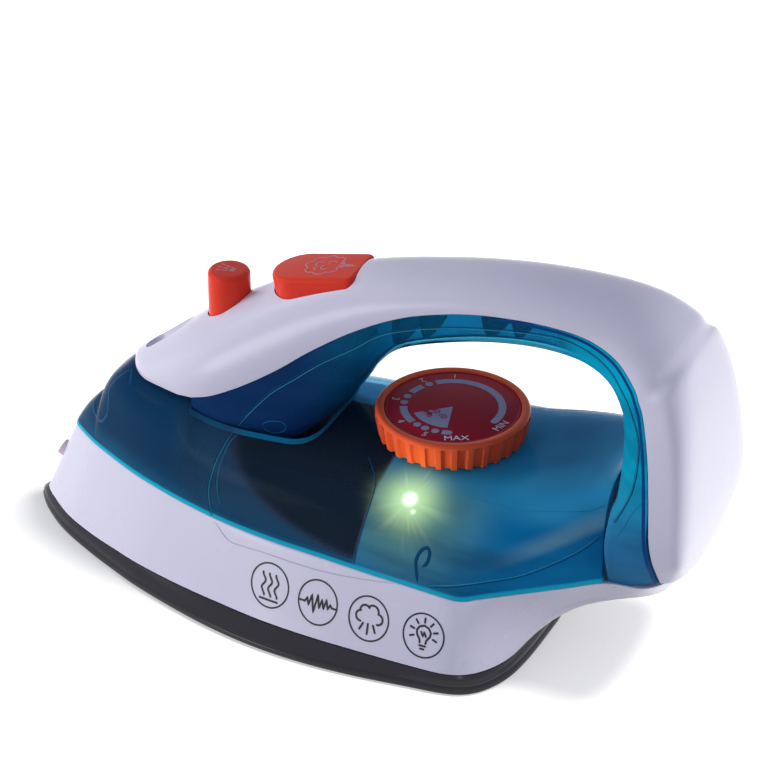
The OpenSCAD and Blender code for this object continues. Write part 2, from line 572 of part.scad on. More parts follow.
module switch_bracket() {
    front = spray_x - bracket_reach;
    back = spray_x + 2 * bracket_reach;
    half = shelf;
    leg = plate;
    rest = [steam_centre - shelf + plate * 0.75, steam_plate_top - plate / 2];
    lip = [steam_x + rest[0] * cos(steam_tilt) - rest[1] * sin(steam_tilt),
        steam_top + rest[0] * sin(steam_tilt) + rest[1] * cos(steam_tilt)];
    color([0.3, 0.32, 0.38]) {
        translate([front, -half, plate_top - plate]) cube([back - front, 2 * half, plate]);
        at_steam() translate([steam_centre - shelf, -half, steam_plate_top - plate]) cube([2 * shelf, 2 * half, plate]);
        for (side = [-1, 1]) translate([0, side * (half - leg) + plate, 0]) rotate([90, 0, 0])
            linear_extrude(height = 2 * plate) polygon([[back - 2 * plate, plate_top - plate / 2],
                [back - plate / 2, plate_top - plate / 2], lip + [plate / 2, 0], lip - [plate / 2, 0]]);
        for (x = [case_x - case_size[0] / 2 + 1.5 * leg, back - 3.4 * leg]) for (side = [-1, 1])
            translate([x, side * (half - 1.5 * leg), case_top + snug]) cylinder(h = plate_top - case_top - snug, r = leg, $fn = 24);
    }
}

module battery_tray() {
    color([0.16, 0.17, 0.22])
    difference() {
        translate([tray_x - tray_inside[0] / 2 - tray_wall, -tray_inside[1] / 2 - tray_wall, tray_foot])
            cube([tray_inside[0] + 2 * tray_wall, tray_inside[1] + 2 * tray_wall, tray_inside[2] + tray_wall]);
        translate([tray_x - tray_inside[0] / 2, -tray_inside[1] / 2, tray_foot - over])
            cube([tray_inside[0], tray_inside[1], tray_inside[2] + over]);
    }
}

// One AA cell lying along X, its nub towards dir
module cell(y, dir) {
    color([0.2, 0.45, 0.3])
    translate([tray_x, y, cell_z]) rotate([0, dir * 90, 0]) {
        translate([0, 0, -cell_length / 2 - cell_nub * 0.4]) cylinder(h = cell_length, r = cell_diameter / 2, $fn = 64);
        translate([0, 0, cell_length / 2 - cell_nub / 2]) cylinder(h = cell_nub * 1.1, r = cell_diameter * 0.19, $fn = 32);
    }
}

module cell_left() { cell(-cell_pitch, 1); }
module cell_middle() { cell(0, -1); }
module cell_right() { cell(cell_pitch, 1); }

// Contact plates at one end of the tray, with a pad for each cell
module contacts(dir) {
    leaf_height = 8;
    leaf_width = 10;
    leaf_thick = 0.5;
    reach = 1.1;
    pad_radius = 2.4;
    face = tray_x + dir * (tray_inside[0] / 2 - snug);
    color([0.8, 0.72, 0.45])
    for (y = [-cell_pitch, 0, cell_pitch]) translate([face, y, cell_z]) rotate([0, -dir * 90, 0]) {
        translate([-leaf_height / 2, -leaf_width / 2, 0]) cube([leaf_height, leaf_width, leaf_thick]);
        cylinder(h = reach, r = pad_radius, $fn = 32);
    }
}

module front_contacts() { contacts(-1); }
module rear_contacts() { contacts(1); }

module battery_door() {
    corner = 2;
    x = door_size[0] / 2 - corner;
    y = door_size[1] / 2 - corner;
    color([0.1, 0.1, 0.12])
    difference() {
        translate([door_x, 0, door_lift]) linear_extrude(height = door_size[2])
            polygon([for (q = [[x, y, 0], [-x, y, 90], [-x, -y, 180], [x, -y, 270]]) for (a = [0:30:90])
                [q[0] + corner * cos(q[2] + a), q[1] + corner * sin(q[2] + a)]]);
        translate([door_screw_x, 0, 0]) cylinder(h = door_size[2] + over, r = screw_radius + snug, $fn = 24);
        translate([door_screw_x, 0, 0]) cylinder(h = door_lift + door_pocket, r = head_radius * 0.8, $fn = 32);
    }
}

module door_screw() {
    sink = 0.2;
    grip = 4.6;
    color([0.7, 0.71, 0.74]) translate([door_screw_x, 0, door_lift]) {
        translate([0, 0, sink]) cylinder(h = door_pocket - sink - snug, r = head_radius * 0.75, $fn = 32);
        translate([0, 0, door_pocket - sink]) cylinder(h = grip, r = screw_radius, $fn = 24);
    }
}

module housing_screws() {
    color([0.7, 0.71, 0.74])
    at_pillars() {
        translate([0, 0, head_lift]) cylinder(h = head_height, r = head_radius, $fn = 32);
        translate([0, 0, head_lift]) cylinder(h = screw_length, r = screw_radius, $fn = 24);
    }
}

module module_case() {
    color([0.1, 0.12, 0.22])
    difference() {
        translate([case_x - case_size[0] / 2, -case_size[1] / 2, case_foot]) cube(case_size);
        translate([case_x - case_size[0] / 2 + case_wall, -case_size[1] / 2 + case_wall, case_foot - over])
            cube([case_size[0] - 2 * case_wall, case_size[1] - 2 * case_wall, case_size[2] - case_wall + over]);
        translate([case_x + case_size[0] / 2 - 2 * case_wall, lead_y - lead_gate / 2, case_foot - over])
            cube([3 * case_wall, lead_gate, lead_gate_height]);
        translate([tail_x, 0, case_top - 2 * case_wall]) cylinder(h = 3 * case_wall, r = lead_hole, $fn = 24);
    }
}

module circuit_board() {
    size = [case_size[0] - 2 * (case_wall + seat_gap), case_size[1] - 2 * (case_wall + seat_gap), board];
    chip = 12;
    chip_height = 2.2;
    can_radius = 3;
    can_height = 7;
    color([0.1, 0.4, 0.25])
    translate([case_x - size[0] / 2, -size[1] / 2, board_foot]) cube(size);
    color([0.15, 0.15, 0.17]) {
        translate([case_x - size[0] * 0.15, -chip / 2, board_foot + board - snug])
            cube([chip, chip, chip_height]);
        translate([case_x + size[0] * 0.23, size[1] * 0.13, board_foot + board - snug])
            cylinder(h = can_height, r = can_radius, $fn = 32);
    }
}

module lamp_holder() {
    seat = 9;
    thick = 2.6;
    size = [thick, seat, seat];
    color([0.85, 0.86, 0.88])
    difference() {
        translate(lamp_place + [snug, -size[1] / 2, -size[2] / 2]) cube(size);
        translate(lamp_place) rotate([0, 90, 0]) cylinder(h = size[0] + over, r = lamp_diameter / 2 + snug, $fn = 32);
    }
}

module lamp() {
    color([0.85, 1, 0.8])
    translate(lamp_place + [2 * snug, 0, 0]) rotate([0, 90, 0]) {
        cylinder(h = lamp_diameter, r = lamp_diameter / 2, $fn = 32);
        translate([0, 0, lamp_diameter]) sphere(r = lamp_diameter / 2, $fn = 32);
    }
}

module speaker() {
    color([0.3, 0.31, 0.34]) {
        translate([speaker_x, 0, speaker_z]) cylinder(h = speaker_rim, r = speaker_diameter / 2, $fn = 64);
        translate([speaker_x, 0, speaker_z]) cylinder(h = speaker_magnet, r = speaker_diameter * 0.28, $fn = 48);
    }
}

module speaker_clamp() {
    thick = 1.4;
    reach = 1;
    color([0.6, 0.61, 0.64])
    translate([speaker_x, 0, speaker_z + speaker_rim + snug]) difference() {
        cylinder(h = thick, r = speaker_diameter / 2 + reach, $fn = 64);
        translate([0, 0, -over]) cylinder(h = thick + 2 * over, r = speaker_diameter * 0.4, $fn = 64);
    }
}

module wire_loom() {
    core = 0.7;
    inner = 6;
    exit_x = case_x + case_length / 2;
    start = board_foot - core - seat_gap;
    finish = speaker_z + speaker_magnet + 2 * core + seat_gap;
    color([0.75, 0.15, 0.12])
    for (k = [-0.5, 0.5]) let (y = lead_y + k * lead_pitch)
        lead([[exit_x - inner, y, start], [exit_x - inner / 3, y, start], [exit_x + inner / 2, y, start],
            [speaker_x - speaker_diameter / 4, y - lead_y * 0.58, finish],
            [speaker_x - speaker_diameter / 9, y - lead_y * 0.75, finish]], core);
    color([0.12, 0.12, 0.14]) translate([tail_x, 0, board_foot + board + seat_gap])
        cylinder(h = plate_top - plate - board_foot - board - 2 * seat_gap, r = core, $fn = 16);
}

sole_plate();
lower_skirt();
tank_shell();
handle_frame();
handle_cover();
spray_nozzle();
dial_knob();
dial_disc();
dial_retainer();
spray_button();
spray_spring();
spray_switch();
steam_button();
steam_spring();
steam_switch();
switch_bracket();
battery_tray();
cell_left();
cell_middle();
cell_right();
front_contacts();
rear_contacts();
battery_door();
door_screw();
housing_screws();
module_case();
circuit_board();
lamp();
lamp_holder();
speaker();
speaker_clamp();
wire_loom();
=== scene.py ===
# Toy steam iron: the finished look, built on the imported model
import math

import bmesh
import bpy
import numpy as np
from mathutils import Matrix, Vector
from mathutils.bvhtree import BVHTree


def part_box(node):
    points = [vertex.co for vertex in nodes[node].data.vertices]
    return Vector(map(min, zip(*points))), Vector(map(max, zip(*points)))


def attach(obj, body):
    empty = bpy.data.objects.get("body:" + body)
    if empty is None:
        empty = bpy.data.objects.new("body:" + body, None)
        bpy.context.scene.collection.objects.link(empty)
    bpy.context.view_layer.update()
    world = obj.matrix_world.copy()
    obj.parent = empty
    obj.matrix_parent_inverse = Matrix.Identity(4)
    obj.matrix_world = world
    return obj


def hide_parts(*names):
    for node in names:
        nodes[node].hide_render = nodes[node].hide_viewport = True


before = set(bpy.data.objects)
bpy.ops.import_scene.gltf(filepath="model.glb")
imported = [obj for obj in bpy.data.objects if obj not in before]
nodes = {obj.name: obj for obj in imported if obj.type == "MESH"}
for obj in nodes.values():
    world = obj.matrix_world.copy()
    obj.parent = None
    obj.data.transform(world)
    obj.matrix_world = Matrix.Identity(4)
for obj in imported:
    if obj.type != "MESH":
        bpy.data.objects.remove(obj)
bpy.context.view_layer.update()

mm = 0.001
print("model loaded:", len(nodes), "nodes")

# Sizes shared with the part's source
iron = {"halfLength": 110 * mm, "halfWidth": 49.7 * mm, "height": 116.6 * mm, "wall": 1.8 * mm, "gap": 0.3 * mm}
halfLength, halfWidth, ironHeight = iron["halfLength"], iron["halfWidth"], iron["height"]
wall, seatGap = iron["wall"], iron["gap"]

# Camera

view = {"target": (-0.0107, 0.041, 0.0416), "distance": 0.925, "azimuth": 24.0, "elevation": 31.0, "lens": 140.6,
        "sensor": 36, "near": 0.05, "far": 20}


def makeCamera():
    a, e = math.radians(view["azimuth"]), math.radians(view["elevation"])
    back = Vector((math.sin(a) * math.cos(e), -math.cos(a) * math.cos(e), math.sin(e)))
    right = Vector((math.cos(a), math.sin(a), 0))
    up = back.cross(right)
    camera = bpy.data.cameras.new("camera")
    camera.lens, camera.sensor_width = view["lens"], view["sensor"]
    camera.clip_start, camera.clip_end = view["near"], view["far"]
    seat = bpy.data.objects.new("camera", camera)
    place = Vector(view["target"]) + back * view["distance"]
    seat.matrix_world = Matrix.Translation(place) @ Matrix((right, up, back)).transposed().to_4x4()
    bpy.context.scene.collection.objects.link(seat)
    bpy.context.scene.camera = seat


makeCamera()

# Materials


class Link:
    # A socket that takes + - * / and **, each adding its own node
    def __init__(self, finish, socket):
        self.finish, self.socket = finish, socket

    def join(self, kind, first, second):
        wide = any(e.socket.type in ("VECTOR", "RGBA") if isinstance(e, Link) else isinstance(e, tuple)
                   for e in (first, second))
        if wide:
            first, second = [(e, e, e) if isinstance(e, (int, float)) else e for e in (first, second)]
        return self.finish.node("VectorMath" if wide else "Math", {"operation": kind}, {0: first, 1: second})

    def __add__(self, other):
        return self.join("ADD", self, other)

    def __radd__(self, other):
        return self.join("ADD", other, self)

    def __sub__(self, other):
        return self.join("SUBTRACT", self, other)

    def __rsub__(self, other):
        return self.join("SUBTRACT", other, self)

    def __mul__(self, other):
        return self.join("MULTIPLY", self, other)

    def __truediv__(self, other):
        return self.join("DIVIDE", self, other)

    def __pow__(self, other):
        return self.join("POWER", self, other)


class Finish:
    # One material or world: node() makes its nodes, and finishWith() sends its shader to the output
    def __init__(self, name, owner=None):
        self.material = owner or bpy.data.materials.new(name)
        self.material.use_nodes = True
        self.tree = self.material.node_tree
        self.tree.nodes.clear()

    def node(self, kind, settings=None, inputs=None, output=0):
        made = self.tree.nodes.new("ShaderNode" + kind)
        for name, value in (settings or {}).items():
            setattr(made, name, value)
        for name, value in (inputs or {}).items():
            socket = made.inputs[name]
            if isinstance(value, Link):
                self.tree.links.new(value.socket, socket)
            elif isinstance(value, tuple) and len(value) == 3 and socket.type == "RGBA":
                socket.default_value = (*value, 1)
            else:
                socket.default_value = value
        return Link(self, made.outputs[output])

    def sibling(self, link, output):  # another output of the same node
        return Link(self, link.socket.node.outputs[output])

    def place(self):
        return self.node("TexCoord", output="Object")

    def length(self, vector):
        return self.node("VectorMath", {"operation": "LENGTH"}, {0: vector}, output="Value")

    def noise(self, scale, detail=3.0, rough=0.5):
        return self.node("TexNoise", None,
                         {"Vector": self.place(), "Scale": scale, "Detail": detail, "Roughness": rough})

    def stretchedNoise(self, scales, detail):
        return self.node("TexNoise", None, {"Vector": self.place() * scales, "Scale": 1.0, "Detail": detail})

    def ease(self, value, low, high, fromOut=0.0, toOut=1.0):
        return self.node("MapRange", {"interpolation_type": "SMOOTHSTEP"},
                         {"Value": value, "From Min": low, "From Max": high, "To Min": fromOut, "To Max": toOut})

    def mix(self, share, first, second):
        return self.node("Mix", {"data_type": "RGBA"}, {"Factor": share, 6: first, 7: second}, output=2)

    def mixShader(self, share, first, second):
        return self.node("MixShader", None, {0: share, 1: first, 2: second})

    def bump(self, height, strength, distance):
        return self.node("Bump", None, {"Height": height, "Strength": strength, "Distance": distance})

    def seen(self):  # 1 for rays from the camera, off gloss and through clear plastic, which see the white background
        path = self.node("LightPath", output="Is Camera Ray")
        rays = path + self.sibling(path, "Is Glossy Ray") + self.sibling(path, "Is Transmission Ray")
        return self.ease(rays, 0.0, 1.0)

    def shade(self, values):
        return self.finishWith(self.node("BsdfPrincipled", None, values))

    def finishWith(self, shader, output="OutputMaterial"):
        made = self.tree.nodes.new("ShaderNode" + output)
        self.tree.links.new(shader.socket, made.inputs["Surface"])
        return self.material


# Moulded plastic: a body colour with a slow drift, a fine surface and a roughness that varies a little
moulding = {"driftScale": 28.0, "grainScale": 1400.0, "grainDepth": 0.03 * mm, "roughDrift": 0.08}


def mouldedPlastic(name, colour, rough=0.3, drift=0.03, grain=0.06, grainScale=None, gloss=0.5, glowing=None):
    f = Finish(name)
    slow = f.noise(moulding["driftScale"])
    fine = f.noise(grainScale or moulding["grainScale"], 2.0)
    deeper = tuple(c * (1 - drift * 2) for c in colour)
    least, most = rough * (1 - moulding["roughDrift"]), rough * (1 + moulding["roughDrift"])
    values = {"Base Color": f.mix(f.ease(slow, 0.3, 0.7), deeper, colour), "Specular IOR Level": gloss,
              "Roughness": f.ease(slow, 0.25, 0.75, least, most),
              "Normal": f.bump(fine, grain, moulding["grainDepth"])}
    return f.shade({**values, **(glowing or {})})


def brushedMetal(name, colour, rough=0.28):
    f = Finish(name)
    streaks = f.stretchedNoise((400.0, 400.0, 3000.0), 4.0)
    tint = f.mix(streaks, tuple(c * 0.82 for c in colour), colour)
    return f.shade({"Base Color": tint, "Metallic": 1.0, "Normal": f.bump(streaks, 0.2, 0.02 * mm),
                    "Roughness": f.ease(streaks, 0.3, 0.7, rough * 0.8, rough * 1.3)})


# The toy's lamp as painted light on the tank wall: a white core, a green halo with beams, and a small painted
# reflection below
glow = {"place": (0.0291, -0.0301, 0.0522), "core": 0.2 * mm, "fade": 3.2 * mm, "halo": 19 * mm, "reach": 21 * mm,
        "spot": (0.0312, -0.0329, 0.0502), "spotCore": 0.2 * mm, "spotFade": 1.1 * mm, "lampLitReach": 34 * mm,
        "strength": 1.6, "coreTone": (1.0, 1.0, 0.94), "haloTone": (0.30, 0.38, 0.14), "beamTone": (0.28, 0.34, 0.16),
        "spotTone": (0.85, 1.0, 0.7)}
# Where the dark block shows through the tank wall: it ends behind at one line, and in front and below on a curve
darkBlock = {"rear": 13.5 * mm, "top": 54 * mm, "length": 43 * mm, "height": 21 * mm, "lean": 0.15}
# Where a painted highlight, a pale band, runs along the rear crease on the tank's tail
rearCrease = {"x": 48 * mm, "z": 33 * mm, "slope": 0.51, "paintedHighlight": 0.6}
# Tank tones: chamber is painted light of the toy's lamp, top a painted brightening where light shines through, pale a
# painted highlight
tankTones = {"nose": (0.006, 0.050, 0.125), "low": (0.034, 0.100, 0.20), "shelf": (0.014, 0.15, 0.31),
             "block": (0.16, 0.11, 0.15), "chamber": (0.17, 0.44, 0.40), "tail": (0.004, 0.26, 0.60),
             "top": (0.04, 0.42, 0.76), "pale": (0.30, 0.60, 0.72)}
frameTones = {"foot": (0.010, 0.052, 0.20), "arch": (0.003, 0.26, 0.50), "column": (0.002, 0.55, 0.84),
              "heel": (0.04, 0.28, 0.56)}
# The two rim colours paint an edge glow along the seam
clearTeal = {"ior": 1.07, "clear": 0.97, "rim": (0.01, 0.62, 0.80), "rimBody": (0.012, 0.44, 0.64),
             "flow": (0.003, 0.040, 0.12), "flowScale": (18.0, 18.0, 75.0), "bodyRough": 0.12, "bodyGloss": 0.014}


# Clear teal plastic, part glass and part body tone. The piece's own map marks the rim over the seam, where a painted
# edge glow brightens the colour and makes it less clear
def tealStart(name, pale, deep):
    f = Finish(name)
    f.slow = f.noise(22.0)
    seamUp = f.node("SeparateXYZ", None, {0: f.node("UVMap", {"uv_map": "shell"})}, output="Y")
    f.rim = f.ease(seamUp, 0.08, 0.20, 1.0, 0.0)
    f.shelf = f.ease(seamUp, 0.15, 1.1, 1.0, 0.0)
    x = f.node("SeparateXYZ", None, {0: f.place()}, output="X")
    f.x, f.z = x + f.slow * 4 * mm, f.sibling(x, "Z")
    body = f.mix(f.ease(f.slow, 0.3, 0.7), deep, pale)
    f.values = {"Base Color": f.mix(f.rim, body, clearTeal["rim"]), "Roughness": f.ease(f.slow, 0.3, 0.7, 0.03, 0.06),
                "IOR": clearTeal["ior"], "Transmission Weight": clearTeal["clear"]}
    return f


def tealEnd(f, tone, share, glowing=None):
    flow = f.stretchedNoise(clearTeal["flowScale"], 3.0)
    tone = f.mix(f.ease(flow, 0.38, 0.68, 0.0, 0.5), tone, clearTeal["flow"])
    body = {"Base Color": f.mix(f.rim, tone, clearTeal["rimBody"]), "Roughness": clearTeal["bodyRough"],
            "Specular IOR Level": clearTeal["bodyGloss"]}
    glass, shown = [f.node("BsdfPrincipled", None, {**values, **(glowing or {})}) for values in (f.values, body)]
    return f.finishWith(f.mixShader(f.ease(f.rim * 0.85 + share, 0, 1), glass, shown))


def makeTealTank():
    f = tealStart("teal_tank", (0.10, 0.33, 0.49), (0.07, 0.27, 0.44))
    tones = tankTones
    depths = (darkBlock["rear"] + 2 * mm - f.x) / darkBlock["length"], (darkBlock["top"] - f.z) / darkBlock["height"]
    forward, below = [f.node("Math", {"operation": "MAXIMUM"}, {0: depth, 1: 0.0}) ** 1.5 for depth in depths]
    outside = f.ease(forward + below, 0.9, 1.15)
    nose = f.ease(f.x, -52 * mm, -34 * mm, 1.0, 0.0)
    rear = f.ease(f.x - (f.z - 30 * mm) * darkBlock["lean"], darkBlock["rear"] + 2 * mm, darkBlock["rear"] + 4 * mm)
    away = f.place() - glow["place"]
    near = f.length(away)
    front = f.mix(f.shelf * 0.6, f.mix(nose, tones["low"], tones["nose"]), tones["shelf"])
    # Painted lamp light: towards the toy's lamp the tank turns from the tail tone to the greener chamber tone
    lampLit = f.ease(near, 6 * mm, glow["lampLitReach"], 1.0, 0.0)
    # Painted light: above 53 to 58 mm the tank takes the brighter top tone, as where light shines through it from
    # behind
    behind = f.mix(f.ease(f.z, 53 * mm, 58 * mm), f.mix(lampLit, tones["tail"], tones["chamber"]), tones["top"])
    # Painted highlight: a pale band 0 to 9 mm above the rear crease, stronger towards the back
    over = f.z - rearCrease["z"] - (f.x - rearCrease["x"]) * rearCrease["slope"]
    paintedHighlight = f.ease(over, 0.0, 3 * mm) * f.ease(over, 4 * mm, 9 * mm, 1.0, 0.0)
    behind = f.mix(paintedHighlight * f.ease(f.x, 52 * mm, 80 * mm, 0.0, rearCrease["paintedHighlight"]), behind, tones["pale"])
    tone = f.mix(rear, f.mix(outside, tones["block"], front), behind)
    share = (0.12 + outside * (0.36 + nose * 0.22)) * (1 - rear) + rear * 0.58
    # Painted light of the toy's lamp, as emission on the tank wall: core, halo, beams and a painted reflection below
    flat = f.node("VectorMath", {"operation": "NORMALIZE"}, {0: away * (1.0, 0.25, 1.0)})
    beams = f.ease(f.node("TexNoise", None, {"Vector": flat, "Scale": 6.0, "Detail": 0.0}), 0.50, 0.80)
    halo = f.ease(near, 0.0, glow["halo"], 1.0, 0.0) ** 2.4
    star = beams * f.ease(near, 0.0, glow["reach"], 0.55, 0.0) ** 1.6
    core = f.ease(near, glow["core"], glow["fade"], 1.0, 0.0) ** 1.2
    spot = f.ease(f.length(f.place() - glow["spot"]), glow["spotCore"], glow["spotFade"], 0.6, 0.0)
    soft = f.mix(star, f.mix(halo, (0, 0, 0), glow["haloTone"]), glow["beamTone"])
    shining = f.mix(spot, f.mix(core, soft, glow["coreTone"]), glow["spotTone"])
    return tealEnd(f, tone, share, {"Emission Color": shining, "Emission Strength": glow["strength"]})


def makeTealHandle():
    f = tealStart("teal_handle", (0.05, 0.38, 0.56), (0.035, 0.31, 0.50))
    tones = frameTones
    arch = f.ease(f.x, -14 * mm, 20 * mm)
    column = f.ease(f.z, 52 * mm, 78 * mm)
    rear = f.ease(f.x, 62 * mm, 76 * mm)
    tone = f.mix(rear, f.mix(arch, tones["foot"], tones["arch"]), f.mix(column, tones["heel"], tones["column"]))
    return tealEnd(f, tone, 0.74 - arch * 0.50 + rear * 0.42)


whitePlastic = mouldedPlastic("white_plastic", (0.67, 0.65, 0.80), 0.26, drift=0.01, gloss=0.4)
blackPlastic = mouldedPlastic("black_sole", (0.016, 0.015, 0.024), 0.2, gloss=0.3)
orangePlastic = mouldedPlastic("orange_plastic", (0.86, 0.054, 0.028), 0.3, gloss=0.09)
dialPlastic = mouldedPlastic("dial_orange", (0.82, 0.108, 0.040), 0.3, gloss=0.09)
darkRedPlastic = mouldedPlastic("dark_red_disc", (0.34, 0.016, 0.036), 0.5, gloss=0.05)
discPrint = mouldedPlastic("grey_blue_print", (0.30, 0.32, 0.50), 0.5, gloss=0.1)
wordPrint = mouldedPlastic("pale_grey_print", (0.52, 0.53, 0.62), 0.5, gloss=0.1)
maxPrint = mouldedPlastic("white_print", (0.78, 0.79, 0.90), 0.5, gloss=0.1)
linePrint = mouldedPlastic("dark_print", (0.014, 0.013, 0.02), 0.4, gloss=0.3)
buttonPrint = mouldedPlastic("pale_print", (0.62, 0.34, 0.40), 0.45, gloss=0.15)
pinkPlastic = mouldedPlastic("nozzle_pink", (0.70, 0.55, 0.66), 0.3)
innerDark = mouldedPlastic("inner_dark_plastic", (0.050, 0.030, 0.050), 0.5, grain=0.02, gloss=0.05)
innerGrey = mouldedPlastic("inner_grey_plastic", (0.09, 0.10, 0.14), 0.5, gloss=0.2)
innerWhite = mouldedPlastic("inner_white_plastic", (0.55, 0.56, 0.60), 0.4)
switchBlack = mouldedPlastic("switch_black", (0.02, 0.02, 0.025), 0.4, gloss=0.3)
cellGreen = mouldedPlastic("cell_sleeve", (0.03, 0.16, 0.07), 0.3)
boardGreen = mouldedPlastic("board_green", (0.02, 0.13, 0.05), 0.35, drift=0.15)
speakerPaper = mouldedPlastic("speaker_paper", (0.05, 0.05, 0.06), 0.7, grain=0.5, grainScale=500.0, gloss=0.2)
wireRed = mouldedPlastic("wire_sleeve", (0.45, 0.03, 0.02), 0.35)
steel = brushedMetal("steel", (0.62, 0.63, 0.65))
brass = brushedMetal("contact_brass", (0.72, 0.55, 0.27), 0.24)
tealTank, tealHandle = makeTealTank(), makeTealHandle()
lampLens = mouldedPlastic("lamp_lens", (0.7, 0.85, 0.5), 0.2,
                          glowing={"Emission Color": (0.9, 1.0, 0.55, 1), "Emission Strength": 0.5})
# Crease colours: the dark and the white crease lines paint shade in the moulded steps, the bright crease line paints a
# highlight on their edge
creaseShade = mouldedPlastic("crease_shade", (0.003, 0.060, 0.16), 0.3, gloss=0.04)
jointBlue = mouldedPlastic("joint_blue", (0.003, 0.060, 0.24), 0.3, gloss=0.04)
ribTeal = mouldedPlastic("rib_teal", (0.002, 0.020, 0.07), 0.3, gloss=0.1)
creaseHighlight = mouldedPlastic("crease_highlight", (0.03, 0.30, 0.46), 0.25, gloss=0.1)
creaseFaint = mouldedPlastic("crease_faint", (0.01, 0.19, 0.36), 0.25, gloss=0.1)
creaseWhiteShade = mouldedPlastic("crease_white_shade", (0.46, 0.43, 0.56), 0.3)
print("materials made:", len(bpy.data.materials))

# Outlines from the tip to the back, one side: shares of half length, half width and height

soleEdgeShares = [
    (-1, 0), (-0.987, 0.06), (-0.937, 0.185), (-0.851, 0.34), (-0.735, 0.489), (-0.631, 0.604), (-0.532, 0.704),
    (-0.385, 0.823), (-0.245, 0.915), (-0.103, 0.976), (0.045, 1), (0.184, 0.992), (0.317, 0.964), (0.416, 0.942),
    (0.468, 0.909), (0.504, 0.853), (0.53, 0.777), (0.549, 0.69), (0.562, 0.594), (0.57, 0.483), (0.575, 0.372),
    (0.578, 0.252), (0.58, 0.131), (0.582, 0)]
soleTopShares = [
    (-0.975, 0, 0.038), (-0.966, 0.06, 0.039), (-0.921, 0.163, 0.041), (-0.835, 0.32, 0.045), (-0.733, 0.449, 0.048),
    (-0.633, 0.551, 0.051), (-0.535, 0.638, 0.052), (-0.396, 0.732, 0.053), (-0.26, 0.801, 0.053),
    (-0.115, 0.863, 0.053), (0.032, 0.897, 0.053), (0.169, 0.911, 0.053), (0.308, 0.92, 0.053), (0.404, 0.918, 0.053),
    (0.455, 0.893, 0.053), (0.49, 0.843, 0.053), (0.518, 0.771, 0.053), (0.54, 0.684, 0.053), (0.555, 0.584, 0.053),
    (0.564, 0.473, 0.053), (0.57, 0.362, 0.053), (0.574, 0.252, 0.053), (0.575, 0.131, 0.053), (0.576, 0, 0.053)]
seamShares = [
    (-0.871, 0, 0.262), (-0.864, 0.052, 0.261), (-0.829, 0.117, 0.26), (-0.768, 0.209, 0.259), (-0.691, 0.302, 0.258),
    (-0.6, 0.402, 0.256), (-0.509, 0.487, 0.256), (-0.386, 0.579, 0.254), (-0.259, 0.654, 0.253), (-0.115, 0.704, 0.25),
    (0.032, 0.734, 0.248), (0.169, 0.757, 0.244), (0.305, 0.779, 0.242), (0.4, 0.793, 0.24), (0.445, 0.785, 0.24),
    (0.491, 0.769, 0.255), (0.555, 0.736, 0.273), (0.627, 0.688, 0.29), (0.705, 0.616, 0.304), (0.791, 0.503, 0.31),
    (0.882, 0.445, 0.304), (0.945, 0.385, 0.328), (0.98, 0.25, 0.34), (0.989, 0, 0.343)]
fluteShares = [
    (0.46, 0.861, 0.081), (0.496, 0.777, 0.122), (0.555, 0.644, 0.161), (0.627, 0.501, 0.19), (0.705, 0.378, 0.204),
    (0.777, 0.294, 0.208), (0.832, 0.233, 0.208), (0.868, 0.161, 0.206), (0.889, 0.08, 0.204), (0.895, 0, 0.203)]
domeShares = [
    (-0.87, 0.265, 2), (-0.859, 0.288, 2), (-0.829, 0.331, 2.1), (-0.793, 0.369, 2.2), (-0.767, 0.388, 2.3),
    (-0.759, 0.408, 2.5), (-0.743, 0.441, 2.8), (-0.713, 0.475, 3.2), (-0.667, 0.502, 3.6), (-0.6, 0.506, 4.6),
    (-0.509, 0.511, 4.8), (-0.427, 0.513, 4.5), (-0.364, 0.501, 3.5), (-0.282, 0.491, 3.1), (-0.182, 0.489, 3.1),
    (-0.055, 0.492, 3.15), (0.109, 0.495, 3.1), (0.273, 0.495, 3.2), (0.4, 0.495, 3.35), (0.445, 0.495, 3.6),
    (0.491, 0.496, 4.1), (0.573, 0.508, 4.7), (0.673, 0.528, 5.2), (0.74, 0.549, 5), (0.779, 0.576, 4.6)]
visorShares = [
    (-0.665, 0.515, -0.67, 0.522, 0.03, 2.1), (-0.651, 0.512, -0.662, 0.532, 0.101, 2.1),
    (-0.631, 0.51, -0.645, 0.544, 0.173, 2.1), (-0.591, 0.509, -0.614, 0.566, 0.245, 2.1),
    (-0.527, 0.515, -0.559, 0.607, 0.31, 2.1), (-0.464, 0.519, -0.505, 0.648, 0.36, 2.1)]
